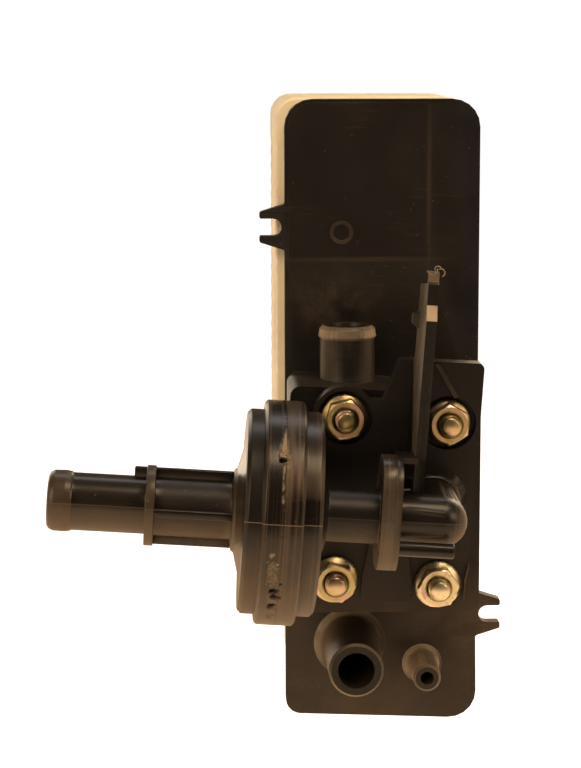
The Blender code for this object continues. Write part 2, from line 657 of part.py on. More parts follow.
def build_inlet_shell():
    outer = [(INLET_END, 6.7), (INLET_END + 0.5, 7.5), (INLET_END + 1.6, 8.0), (INLET_END + 4.6, 8.1)]
    outer += [(INLET_END + 6.0, 7.9), (INLET_END + 6.5, BARB_R), (COLLAR[0], BARB_R), (COLLAR[0], COLLAR_R)]
    outer += [(COLLAR[1], COLLAR_R), (COLLAR[1], BARB_R + 0.2), (-44.6, BARB_R + 0.2), (-44.2, 10.6)]
    outer += [(-43.4, 11.2), (DRUM_LEFT - 0.3, 17.0), (DRUM_LEFT, 18.5), (DRUM_LEFT, RIM_R - 1.0)]
    outer += [(DRUM_LEFT + 1.0, RIM_R), (BAND[0], RIM_R), (BAND[0], BAND_R - 0.7), (BAND[0] + 0.7, BAND_R)]
    outer += [(SEAM - GAP / 2, BAND_R)]
    inner = [(INLET_END, 5.2), (SEAT - 1.2, 5.4), (SEAT, 6.4), (SEAT, 9.0), (DRUM_CAVITY[0], 9.6)]
    inner += [(DRUM_CAVITY[0], DRUM_CAVITY_R), (SEAM - GAP / 2, DRUM_CAVITY_R)]
    profile = upward(outer) + [(r, u) for u, r in inner]
    shell = add_part("inlet_shell", turned(profile, ALONG_X, ROUND, closed=True), GLOSS, FLOW)
    half = RIB_T / 2
    for quarter in range(4):
        start = TOP_RIB_START if quarter == 0 else COLLAR[1] - 0.5
        rib = block((start, DRUM_LEFT - 1.9), (-half, half), (BARB_R - 1.0, RIB_R), 0.3)
        rib.transform(Matrix.Rotation(pi / 2 * quarter, 4, "X"))
        join(shell, rib, FLOW)


def build_outlet_shell():
    outer = [(SEAM + GAP / 2, BAND_R), (BAND[1] - 0.7, BAND_R), (BAND[1], BAND_R - 0.7), (BAND[1], RIM_R)]
    outer += [(DRUM_RIGHT - 1.0, RIM_R), (DRUM_RIGHT, RIM_R - 1.0), (DRUM_RIGHT, 12.4), (-20.0, 9.8)]
    outer += [(-19.2, PIPE_R), (JOINT_LEFT[0] + 1.0, PIPE_R)]
    inner = [(SEAM + GAP / 2, DRUM_CAVITY_R), (DRUM_CAVITY[1], DRUM_CAVITY_R), (DRUM_CAVITY[1], PIPE_BORE)]
    inner += [(JOINT_LEFT[0] + 1.0, PIPE_BORE)]
    profile = upward(outer) + [(r, u) for u, r in inner]
    shell = add_part("outlet_shell", turned(profile, ALONG_X, ROUND, closed=True), GLOSS, FLOW)
    join(shell, slab(joint_outline(), *JOINT_LEFT, SIDE_PLANE), FLOW)
    cut(shell, rod(PIPE_BORE, JOINT_LEFT[0] - 2, JOINT_LEFT[1] + 1, ALONG_X, ROUND), FLOW)
    groove = JOINT_RING_WIRE + GAP
    groove_floor = JOINT_LEFT[1] - 2 * groove + GAP
    ring_slot = sleeve(JOINT_RING_R + groove, JOINT_RING_R - groove, groove_floor, JOINT_LEFT[1] + 1, ALONG_X, 28)
    cut(shell, ring_slot, FLOW)
    head = JOINT_LEFT[0]
    for y, z in JOINT_SCREWS:
        sink = [(0, JOINT_LEFT[1] + 1), (SCREW_R + GAP, JOINT_LEFT[1] + 1), (SCREW_R + GAP, head + 1.4)]
        sink += [(SCREW_HEAD_R + GAP, head + 0.4), (SCREW_HEAD_R + GAP, head - 1), (0, head - 1)]
        cut(shell, turned(sink, moved(0, y, z, ALONG_X), 16), FLOW)
    ring_u = groove_floor + groove
    ring = hoop(JOINT_RING_R, JOINT_RING_WIRE, moved(ring_u, 0, 0, ALONG_X))
    add_part("flange_o_ring", ring, RUBBER, FLOW)


def build_joint_screws():
    head = JOINT_LEFT[0] + 0.2
    profile = [(0, SCREW_END), (SCREW_R - 0.5, SCREW_END), (SCREW_R, SCREW_END - 1), (SCREW_R, head + 1.3)]
    profile += [(SCREW_HEAD_R, head + 0.35), (SCREW_HEAD_R, head), (0, head)]
    for number, (y, z) in enumerate(JOINT_SCREWS, 1):
        screw = turned(profile, moved(0, y, z, ALONG_X), 16)
        add_part(f"flange_screw_{number}", screw, STEEL, FLOW)


def build_spring_guide():
    """Spider that carries the poppet's stem and backs its spring."""
    ring = sleeve(DRUM_CAVITY_R - GAP, DRUM_CAVITY_R - 2.6, *GUIDE, ALONG_X, ROUND)
    guide = add_part("spring_guide", ring, ACETAL, FLOW)
    join(guide, rod(GUIDE_HUB_R, *GUIDE, ALONG_X), FLOW)
    for third in range(3):
        arm = block((GUIDE[0] + 0.2, GUIDE[1] - 0.2), (-1.1, 1.1), (2.4, DRUM_CAVITY_R - 1.5))
        arm.transform(Matrix.Rotation(2 * pi / 3 * third, 4, "X"))
        join(guide, arm, FLOW)
    cut(guide, rod(1.8, GUIDE[0] - 1, GUIDE[1] + 1, ALONG_X), FLOW)


def helix_gap(points, per_turn, wire):
    """Least clear distance between neighbouring turns of a coil, measured on its points."""
    least = 1e9
    for i, point in enumerate(points):
        for other in points[i + per_turn // 2:]:
            least = min(least, (point - other).length)
    return least - 2 * wire


def coil(start, end, radius, wire, turns, place, per_turn=9):
    """One unbroken wire wound between two heights along its own Z."""
    count = int(turns * per_turn)
    points = []
    for step in range(count + 1):
        angle = 2 * pi * turns * step / count
        height = start + wire + (end - start - 2 * wire) * step / count
        points.append(Vector((radius * cos(angle), radius * sin(angle), height)))
    pressed = (end - start - POPPET_TRAVEL) - 2 * wire * (turns + 1)
    print("check_spring least gap between turns, mm:", round(helix_gap(points, per_turn, wire), 2))
    print("check_spring room left when the poppet is open, mm:", round(pressed, 2))
    curve = bpy.data.curves.new("coil", "CURVE")
    curve.dimensions = "3D"
    curve.bevel_depth = wire
    curve.bevel_resolution = 1
    curve.use_fill_caps = True
    spline = curve.splines.new("POLY")
    spline.points.add(count)
    for item, point in zip(spline.points, points):
        item.co = (*point, 1.0)
    return bake(bpy.data.objects.new("coil", curve), place)


def build_poppet():
    poppet_axis = make_empty("poppet_axis", (SEAT, 0, 0), FLOW)
    slide = moved(-SEAT, 0, 0, ALONG_X)
    face = SEAT + 1.8
    tail = GUIDE[1] + 1.6
    profile = [(0, tail), (1.2, tail), (1.5, tail - 0.4), (1.5, face + 1.6)]
    profile += [(POPPET_R, face + 1.4), (POPPET_R, face), (5.4, face), (5.4, SEAT - 0.2)]
    profile += [(4.2, SEAT - 1.4), (0, SEAT - 1.6)]
    add_part("check_poppet", turned(profile, slide, 28), ACETAL, poppet_axis)
    add_part("poppet_seal", sleeve(POPPET_R - 0.4, 5.7, SEAT + GAP, face - GAP, slide, 28), RUBBER, poppet_axis)
    spring = coil(face + 1.6 + GAP, GUIDE[0] - GAP, CHECK_COIL_R, CHECK_WIRE, CHECK_TURNS, ALONG_X)
    add_part("check_spring", spring, STEEL, FLOW)


# Float gear
def build_stem():
    """Valve stem, its washer and the pin that the float's yoke pushes on."""
    stem_axis = make_empty("stem_axis", (STEM_X, PANEL_FACE, STEM_Z))
    washer_face = COVER_BACK - NOZZLE_L - STEM_TRAVEL - GAP
    washer_back = washer_face - WASHER_T
    tail = PANEL_FACE - PIVOT_Y - 3.0
    head = washer_back - GAP
    profile = [(0, head), (WASHER_R + 0.4, head), (WASHER_R + 0.4, head - 1.6), (3.2, head - 3.4)]
    profile += [(STEM_R, head - 4.6), (STEM_R, tail + 0.5), (STEM_R - 0.5, tail), (0, tail)]
    stem = add_part("valve_stem", turned(profile, FORWARD, 28), ACETAL, stem_axis)
    cut(stem, rod(1.3 + GAP, washer_face - 10, head + 1, FORWARD, 12), stem_axis)
    pin_y = PIVOT_Y - PANEL_FACE
    cut(stem, rod(CROSS_PIN_R + 0.2, -4, 4, moved(0, pin_y, 0, ALONG_X), 12), stem_axis)
    add_part("valve_washer", sleeve(WASHER_R, 1.3 + GAP, washer_back, washer_face, FORWARD, 28), RUBBER, stem_axis)
    screw = [(0, washer_face + 1.6), (2.4, washer_face + 1.6), (2.9, washer_face + 0.8), (2.9, washer_face + GAP)]
    screw += [(1.3, washer_face + GAP), (1.3, washer_face - 9), (0, washer_face - 9)]
    add_part("washer_screw", turned(screw, FORWARD, 16), STEEL, stem_axis)
    add_part("cross_pin", rod(CROSS_PIN_R, -5.1, 5.1, moved(0, pin_y, 0, ALONG_X), 12, 0.2), STEEL, stem_axis)
    ring_place = moved(STEM_X, PANEL_BACK - 2.0, STEM_Z, FORWARD)
    add_part("stem_o_ring", hoop(3.1, 0.75, ring_place, 20), RUBBER)


def build_float():
    """Yoke and open-bottomed float cup on one hinge pin; the yoke's open slots drive the stem's cross pin."""
    hinge = make_empty("float_hinge", (STEM_X, PIVOT_Y, PIVOT_Z))
    arm = None
    for side in (-1, 1):
        low, high = sorted((side * CHEEK[0], side * CHEEK[1]))
        corners = [(-4, -4, 2), (5.8, -4, 1), (5.8, 3, 1), (3.4, 6, 1), (3.4, 11.6, 1), (-3.2, 11.6, 1), (-4, 4, 1)]
        cheek = slab(rounded(corners), low, high, SIDE_PLANE)
        if arm is None:
            arm = add_part("float_arm", cheek, ACETAL, hinge)
        else:
            join(arm, cheek, hinge)
    join(arm, block((-CHEEK[1] + 0.2, CHEEK[1] - 0.2), (4.5, 17.0), (-3.4, 2.4), 0.4), hinge)
    cut(arm, block((-6, 6), (-CROSS_PIN_R - GAP, CROSS_PIN_R + GAP), (LEVER - 2.2, 14)), hinge)
    cut(arm, rod(PIN_R + GAP, -6, 6, moved(0, 0, 0, ALONG_X), 16), hinge)
    x = (FLOAT_X[0] - STEM_X, FLOAT_X[1] - STEM_X)
    y = (FLOAT_Y[0] - PIVOT_Y, FLOAT_Y[1] - PIVOT_Y)
    body = add_part("float_body", block(x, y, (-FLOAT_BELOW, FLOAT_ABOVE), 3.0), FOAM, hinge)
    wall = FLOAT_WALL
    air = block((x[0] + wall, x[1] - wall), (y[0] + wall, y[1] - wall), (-FLOAT_BELOW - 1, FLOAT_ABOVE - wall))
    cut(body, air, hinge)
    join(body, block((-7.5, 7.5), (y[0] + 0.5, 19.5), (-6.5, 5.5)), hinge)
    socket = block((-CHEEK[1] - GAP, CHEEK[1] + GAP), (4.0, 17.0 + GAP), (-4.0 - GAP, 3.0 + GAP))
    cut(body, socket, hinge)
    pin = [(0, 9.4), (PIN_R - 0.3, 9.4), (PIN_R, 9.1), (PIN_R, -9.0), (2.6, -9.0), (2.6, -10.2), (0, -10.2)]
    add_part("pivot_pin", turned(pin, moved(STEM_X, PIVOT_Y, PIVOT_Z, ALONG_X), 16), STEEL)


build_front_housing()
build_rear_case()
build_inlet_cover()
build_cover_gasket()
build_fasteners()
build_inlet_shell()
build_outlet_shell()
build_joint_screws()
build_spring_guide()
build_poppet()
build_stem()
build_float()
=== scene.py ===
"""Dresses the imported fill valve: moulded black plastic, a scarred drum, plated fasteners and a pale stage."""

import logging
from collections.abc import Callable, Sequence
from dataclasses import dataclass
from enum import Enum
from math import atan2, cos, degrees, pi, radians, sin
from typing import Any, NamedTuple

import bmesh
import bpy
from mathutils import Matrix, Vector, noise


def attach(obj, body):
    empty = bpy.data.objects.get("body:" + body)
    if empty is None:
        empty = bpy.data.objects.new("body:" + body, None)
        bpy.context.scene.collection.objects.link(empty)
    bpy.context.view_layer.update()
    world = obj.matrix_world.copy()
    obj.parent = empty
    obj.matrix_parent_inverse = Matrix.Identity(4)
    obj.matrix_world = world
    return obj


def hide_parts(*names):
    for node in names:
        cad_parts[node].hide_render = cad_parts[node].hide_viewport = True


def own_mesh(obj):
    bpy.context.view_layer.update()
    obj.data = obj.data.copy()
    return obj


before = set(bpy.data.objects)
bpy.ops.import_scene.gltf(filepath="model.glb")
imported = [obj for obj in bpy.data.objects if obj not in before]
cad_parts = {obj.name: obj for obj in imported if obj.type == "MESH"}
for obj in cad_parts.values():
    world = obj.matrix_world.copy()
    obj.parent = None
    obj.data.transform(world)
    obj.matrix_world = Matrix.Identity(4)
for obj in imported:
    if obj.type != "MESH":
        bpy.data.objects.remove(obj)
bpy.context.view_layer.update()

LOG = logging.getLogger("fill_valve")
MM = 0.001
QUARTER = pi / 2

Point = tuple[float, float]
Triple = tuple[float, float, float]
Colour = Triple
BMesh = bmesh.types.BMesh
Material = bpy.types.Material
Mesh = bpy.types.Mesh
Node = bpy.types.Node
Socket = bpy.types.NodeSocket
Tree = bpy.types.NodeTree

FORWARD = (0.0, -1.0, 0.0)
UPWARD = (0.0, 0.0, 1.0)
LEFTWARD = (-1.0, 0.0, 0.0)
SIDEWAYS = (1.0, 0.0, 0.0)


def leaning(place: Triple, lean: float) -> Matrix:
    """Gives the frame at a place in millimetres that leans about Y by an angle in degrees."""
    return Matrix.Translation([x * MM for x in place]) @ Matrix.Rotation(radians(lean), 4, "Y")


# The bolted unit's frame, across, away and up, and the drum's frame, along its axis, away and up
UNIT = leaning((0.0, -60.0, -19.3), 3.3)
FLOW = leaning((0.0579, -122.0, -18.3039), 3.8)
FLOW_AXIS = FLOW.to_3x3() @ Vector((1.0, 0.0, 0.0))


class Body(Enum):
    """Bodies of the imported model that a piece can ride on."""

    HOUSING = "housing"
    FLOAT = "float"
    STEM = "stem"
    POPPET = "poppet"


class Slot(Enum):
    """Material slots of the pieces."""

    BLACK = "black_plastic"
    GLOSS = "gloss_black_plastic"
    CREAM = "cream_plastic"
    RUBBER = "black_rubber"
    ZINC = "yellow_zinc"
    STEEL = "stainless_steel"
    ACETAL = "white_acetal"
    FLOAT = "float_plastic"


# Shader building
class Cloud(NamedTuple):
    """A noise pattern: cells per metre, values that give 0 and 1, octaves, share kept by finer ones."""

    cells: Any
    low: float
    high: float
    detail: float = 3.0
    rough: float = 0.55


class Zone(NamedTuple):
    """An oval zone of a surface: its middle and half its size in metres, and the most that it adds."""

    middle: Triple
    size: Triple
    most: float = 1.0


class Flare(NamedTuple):
    """A painted highlight on a spigot's flared root: a point of its axis, its least and greatest radius, and
    the most it adds.
    """

    middle: Triple
    radii: Point
    most: float


@dataclass
class ShaderDesk:
    """Places and wires nodes in one shader tree.

    Attributes:
        tree: the material's or group's node tree.
    """

    tree: Tree

    def node(self, kind: str, **settings: Any) -> Node:
        """Adds a node.

        Args:
            kind: the node's type name.
            settings: properties to set on it.

        Returns:
            The new node.
        """
        made = self.tree.nodes.new(kind)
        for name, value in settings.items():
            setattr(made, name, value)
        return made

    def put(self, socket: Socket, value: Any) -> None:
        """Links a socket to another one, or sets its constant.

        Args:
            socket: the input to feed.
            value: an output socket, a number, a vector or a colour.
        """
        if isinstance(value, Socket):
            self.tree.links.new(value, socket)
        elif isinstance(value, tuple) and socket.type == "RGBA":
            socket.default_value = (*value, 1.0)
        else:
            socket.default_value = value

    def feed(self, target: Node, values: dict[Any, Any]) -> None:
        """Feeds a node's inputs by name or number."""
        for key, value in values.items():
            self.put(target.inputs[key], value)

    def wired(self, kind: str, values: dict[Any, Any], output: Any = 0, **settings: Any) -> Socket:
        """Adds a node, feeds it and gives one of its outputs.

        Args:
            kind: the node's type name.
            values: its inputs by name or number.
            output: name or number of the output.
            settings: properties to set on it.

        Returns:
            The output.
        """
        made = self.node(kind, **settings)
        self.feed(made, values)
        return made.outputs[output]

    def math(self, operation: str, *values: Any, clamp: bool = False) -> Socket:
        """Works out a value from others in order, kept within 0 and 1 if it clamps."""
        return self.wired("ShaderNodeMath", dict(enumerate(values)), operation=operation, use_clamp=clamp)

    def times(self, first: Any, second: Any) -> Socket:
        """Multiplies two values."""
        return self.math("MULTIPLY", first, second)

    def larger(self, first: Any, second: Any) -> Socket:
        """Gives the larger of two values."""
        return self.math("MAXIMUM", first, second)

    def raised(self, base: Any, mask: Any, most: Any) -> Socket:
        """Adds a mask, times the most that it adds, to a base."""
        return self.math("MULTIPLY_ADD", mask, most, base)

    def span(self, value: Any, low: float, high: float, start: float = 0.0, end: float = 1.0) -> Socket:
        """Maps a value smoothly from the range of low and high to that of start and end."""
        limits = {"From Min": low, "From Max": high, "To Min": start, "To Max": end}
        return self.wired("ShaderNodeMapRange", {"Value": value, **limits}, interpolation_type="SMOOTHSTEP")

    def mix(self, factor: Any, first: Any, second: Any) -> Socket:
        """Mixes two colours by the share of the second, through the node's numbered colour sockets."""
        return self.wired("ShaderNodeMix", {0: factor, 6: first, 7: second}, 2, data_type="RGBA")

    def noise(self, vector: Any, cells: Any, detail: float, rough: float = 0.55) -> Socket:
        """Gives noise by its cells per metre, its octaves and the share kept by each finer octave."""
        values = {"Vector": vector, "Scale": cells, "Detail": detail, "Roughness": rough}
        return self.wired("ShaderNodeTexNoise", values)

    def cloud(self, vector: Any, cloud: Cloud, start: float = 0.0, end: float = 1.0) -> Socket:
        """Gives a noise pattern, from start in its empty parts to end in its full ones."""
        value = self.noise(vector, cloud.cells, cloud.detail, cloud.rough)
        return self.span(value, cloud.low, cloud.high, start, end)

    def mapped(self, vector: Any, scale: Triple, turn: Triple = (0.0, 0.0, 0.0)) -> Socket:
        """Stretches coordinates along each axis and turns them by angles in radians."""
        return self.wired("ShaderNodeMapping", {"Vector": vector, "Rotation": turn, "Scale": scale})

    def centred(self, vector: Any, middle: Triple, **more: Triple) -> Socket:
        """Gives coordinates from a middle, with more inputs of the mapping by name."""
        values = {"Vector": vector, "Location": middle, **more}
        return self.wired("ShaderNodeMapping", values, vector_type="TEXTURE")

    def length(self, vector: Any) -> Socket:
        """Gives a vector's length."""
        return self.wired("ShaderNodeVectorMath", {0: vector}, "Value", operation="LENGTH")

    def axis(self, vector: Any, name: str) -> Socket:
        """Gives the X, Y or Z of coordinates."""
        return self.wired("ShaderNodeSeparateXYZ", {0: vector}, name)

    def place(self, group: Tree, **values: Any) -> dict[str, Socket]:
        """Places a node group.

        Args:
            group: the group.
            values: its inputs by name, with underscores for spaces.

        Returns:
            Its outputs by name.
        """
        made = self.node("ShaderNodeGroup", node_tree=group)
        self.feed(made, {name.replace("_", " "): value for name, value in values.items()})
        return {socket.name: socket for socket in made.outputs}

    def object_coordinates(self) -> Socket:
        """Gives the piece's Object coordinates."""
        return self.node("ShaderNodeTexCoord").outputs["Object"]

    def attribute(self, name: str) -> Socket:
        """Gives the factor of a named mesh attribute."""
        return self.node("ShaderNodeAttribute", attribute_name=name).outputs["Fac"]

    def flow_coordinates(self, vector: Any) -> Socket:
        """Gives coordinates along, before and above the drum's axis, in metres."""
        return self.centred(vector, tuple(FLOW.to_translation()), Rotation=tuple(FLOW.to_euler()))

    def zone(self, vector: Any, zone: Zone) -> Socket:
        """Gives a mask that is 1 in the middle of an oval zone and 0 at its edge."""
        return self.span(self.length(self.centred(vector, zone.middle, Scale=zone.size)), 0.1, 1.0, 1.0, 0.0)

    def flare(self, vector: Any, flare: Flare) -> Socket:
        """Gives a painted highlight that rises over the flared root of a spigot along Y, mostly on its upper
        left where light falls.

        Args:
            vector: coordinates.
            flare: the flared root.

        Returns:
            The mask.
        """
        slant = 0.7
        inner, outer = flare.radii
        spot = self.centred(vector, flare.middle)
        reach = self.length(self.mapped(spot, (1.0, 0.0, 1.0)))
        ways = {0: spot, 1: (-slant, 0.0, slant)}
        side = self.wired("ShaderNodeVectorMath", ways, "Value", operation="DOT_PRODUCT")
        rise = self.span(reach, inner, outer)
        lit = self.span(side, -slant * outer, slant * outer, 0.1, 1.0)
        inside = self.math("LESS_THAN", reach, outer * 1.02)
        return self.times(self.times(rise, lit), inside)

    def bump(self, height: Any, strength: float, distance: float) -> Socket:
        """Gives the normal of a height, with the share of it that shows and its full size in metres."""
        return self.wired("ShaderNodeBump", {"Height": height, "Strength": strength, "Distance": distance})


def new_group(name: str, inputs: dict[str, float], outputs: Sequence[str]) -> tuple[ShaderDesk, Node, Node]:
    """Starts a shader node group on coordinates.

    Args:
        name: the group's name.
        inputs: default of each input after its Vector.
        outputs: names of its float outputs.

    Returns:
        The desk, the group input node and the group output node.
    """
    tree = bpy.data.node_groups.new(name, "ShaderNodeTree")
    tree.interface.new_socket("Vector", in_out="INPUT", socket_type="NodeSocketVector")
    for label, default in inputs.items():
        socket = tree.interface.new_socket(label, in_out="INPUT", socket_type="NodeSocketFloat")
        socket.default_value = default
    for label in outputs:
        tree.interface.new_socket(label, in_out="OUTPUT", socket_type="NodeSocketFloat")
    desk = ShaderDesk(tree)
    return desk, desk.node("NodeGroupInput"), desk.node("NodeGroupOutput")


@dataclass
class Effects:
    """Surface effects that several finishes share, as node groups.

    Attributes:
        scratches: turn about Y in radians and cells per metre of each set of scratches.
        scratch: the lines of one set.
        scratched: the patches that hold scratches.
        smudges: hand smudges.
        speck_cells: cells per metre of the dust specks.
        speck_size: reach within its cell where a speck is full and where it ends.
        speckled: the patches that hold specks.
        tone: slow changes of tone, in cells for each cell of the grain.
        streak_cells: cells per metre of the fine and the broad streaks.
        streaked: middle left of the flow frame, full reach and end of each streaked part, in metres.
        seam_turn: turn of the parting line about the flow axis, in degrees.
        seam_shown: share of the parting line off the drum, and what the drum adds.
        under: heights at which the lower half's dust and painted floor reflection are full and none, in metres.
        under_fall: slopes at which it is fullest and faintest, and its least share.
    """

    scratches: tuple[tuple[float, Triple], ...] = (
        (0.55, (70.0, 220.0, 1900.0)), (-0.95, (60.0, 240.0, 1600.0)), (1.45, (40.0, 150.0, 2300.0)),
    )
    scratch: Cloud = Cloud(1.0, 0.665, 0.74, 1.0)
    scratched: Cloud = Cloud(55.0, 0.46, 0.66, 2.0)
    smudges: Cloud = Cloud(42.0, 0.40, 0.74, 6.0, 0.62)
    speck_cells: float = 520.0
    speck_size: Point = (0.07, 0.15)
    speckled: Cloud = Cloud(300.0, 0.56, 0.60, 1.0)
    tone: Cloud = Cloud(0.03, 0.32, 0.68, 4.0, 0.6)
    streak_cells: tuple[Triple, Triple] = ((3400.0, 14.0, 14.0), (620.0, 10.0, 10.0))
    streaked: tuple[Triple, Triple] = ((0.0316, 0.0100, 0.0106), (0.0030, 0.0026, 0.0032))
    seam_turn: float = 5.7
    seam_shown: Point = (0.35, 0.65)
    under: Point = (-0.0005, 0.0002)
    under_fall: Triple = (-1.2, 0.0, 0.08)

    def __post_init__(self) -> None:
        """Builds the groups once."""
        self.scuffs = self.build_scuffs()
        self.grain = self.build_grain()
        self.streaks = self.build_streaks()

    def build_scuffs(self) -> Tree:
        """Builds crossed scratches, hand smudges and dust specks.

        Returns:
            The group.
        """
        outputs = ("Scratches", "Smudge", "Dust")
        desk, given, result = new_group("surface_scuffs", {"Scratch Scale": 1.0}, outputs)
        vector = given.outputs["Vector"]
        lines: Any = 0.0
        for turn, cells in self.scratches:
            ways = {0: desk.mapped(vector, cells, (0.0, turn, 0.0)), "Scale": given.outputs["Scratch Scale"]}
            scaled = desk.wired("ShaderNodeVectorMath", ways, operation="SCALE")
            lines = desk.larger(lines, desk.cloud(scaled, self.scratch))
        cells = {"Vector": vector, "Scale": self.speck_cells}
        reach = desk.wired("ShaderNodeTexVoronoi", cells, "Distance")
        specks = desk.span(reach, *self.speck_size, 1.0, 0.0)
        desk.feed(result, {
            "Scratches": desk.times(lines, desk.cloud(vector, self.scratched)),
            "Smudge": desk.cloud(vector, self.smudges),
            "Dust": desk.times(specks, desk.cloud(vector, self.speckled)),
        })
        return desk.tree

    def build_grain(self) -> Tree:
        """Builds the fine grain of a moulded or cast face, with slow changes of tone.

        Returns:
            The group.
        """
        desk, given, result = new_group("moulded_grain", {"Fineness": 2500.0}, ("Height", "Tone"))
        vector = given.outputs["Vector"]
        fineness = given.outputs["Fineness"]
        slow = self.tone._replace(cells=desk.times(fineness, self.tone.cells))
        desk.feed(result, {"Height": desk.noise(vector, fineness, 2.0), "Tone": desk.cloud(vector, slow)})
        return desk.tree

    def build_streaks(self) -> Tree:
        """Builds streaks round the flow axis, the raised parting line along it and the lower half's dust and
        painted floor reflection.

        Returns:
            The group.
        """
        outputs = ("Streaks", "Parting", "Lower")
        desk, given, result = new_group("flow_streaks", {"Line Width": 0.00016}, outputs)
        along = desk.flow_coordinates(given.outputs["Vector"])
        layers = [desk.noise(desk.mapped(along, cells), 1.0, 2.0) for cells in self.streak_cells]
        both = desk.math("ADD", *[desk.times(layer, 0.5) for layer in layers])
        x = desk.axis(along, "X")
        drum, flange = [
            desk.span(desk.math("ABSOLUTE", desk.math("ADD", x, middle)), full, end, 1.0, 0.0)
            for middle, full, end in self.streaked
        ]
        turned = desk.mapped(along, (1.0, 1.0, 1.0), (radians(self.seam_turn), 0.0, 0.0))
        z = desk.axis(turned, "Z")
        off = desk.math("DIVIDE", desk.math("ABSOLUTE", z), given.outputs["Line Width"])
        before = desk.math("LESS_THAN", desk.axis(turned, "Y"), 0.0)
        line = desk.times(desk.span(off, 0.5, 1.0, 1.0, 0.0), before)
        shown = desk.raised(self.seam_shown[0], drum, self.seam_shown[1])
        shown = desk.times(shown, desk.math("SUBTRACT", 1.0, flange))
        # lower half: dust with a painted reflection of the pale floor, palest on faces that look down
        reach = desk.larger(desk.length(desk.mapped(turned, (0.0, 1.0, 1.0))), MM)
        steep, level, least = self.under_fall
        fall = desk.span(desk.math("DIVIDE", z, reach), steep, level, 1.0, least)
        desk.feed(result, {
            "Streaks": desk.times(both, desk.larger(drum, flange)),
            "Parting": desk.times(line, shown),
            "Lower": desk.times(desk.span(z, *self.under, 1.0, 0.0), fall),
        })
        return desk.tree

    def skin(self, desk: ShaderDesk, scratch_scale: float, fineness: float) -> tuple[Socket, dict, dict]:
        """Places the scuffs and the grain on a piece's Object coordinates.

        Args:
            desk: the material's desk.
            scratch_scale: fineness of the scratches.
            fineness: grain cells per metre.

        Returns:
            The coordinates, the scuffs' outputs and the grain's outputs.
        """
        place = desk.object_coordinates()
        scuffs = desk.place(self.scuffs, Vector=place, Scratch_Scale=scratch_scale)
        return place, scuffs, desk.place(self.grain, Vector=place, Fineness=fineness)


def new_material(name: str) -> tuple[Material, ShaderDesk, Node]:
    """Starts a node material.

    Args:
        name: its name.

    Returns:
        The material, its desk and its Principled shader.
    """
    material = bpy.data.materials.new(name)
    material.use_nodes = True
    desk = ShaderDesk(material.node_tree)
    return material, desk, material.node_tree.nodes["Principled BSDF"]


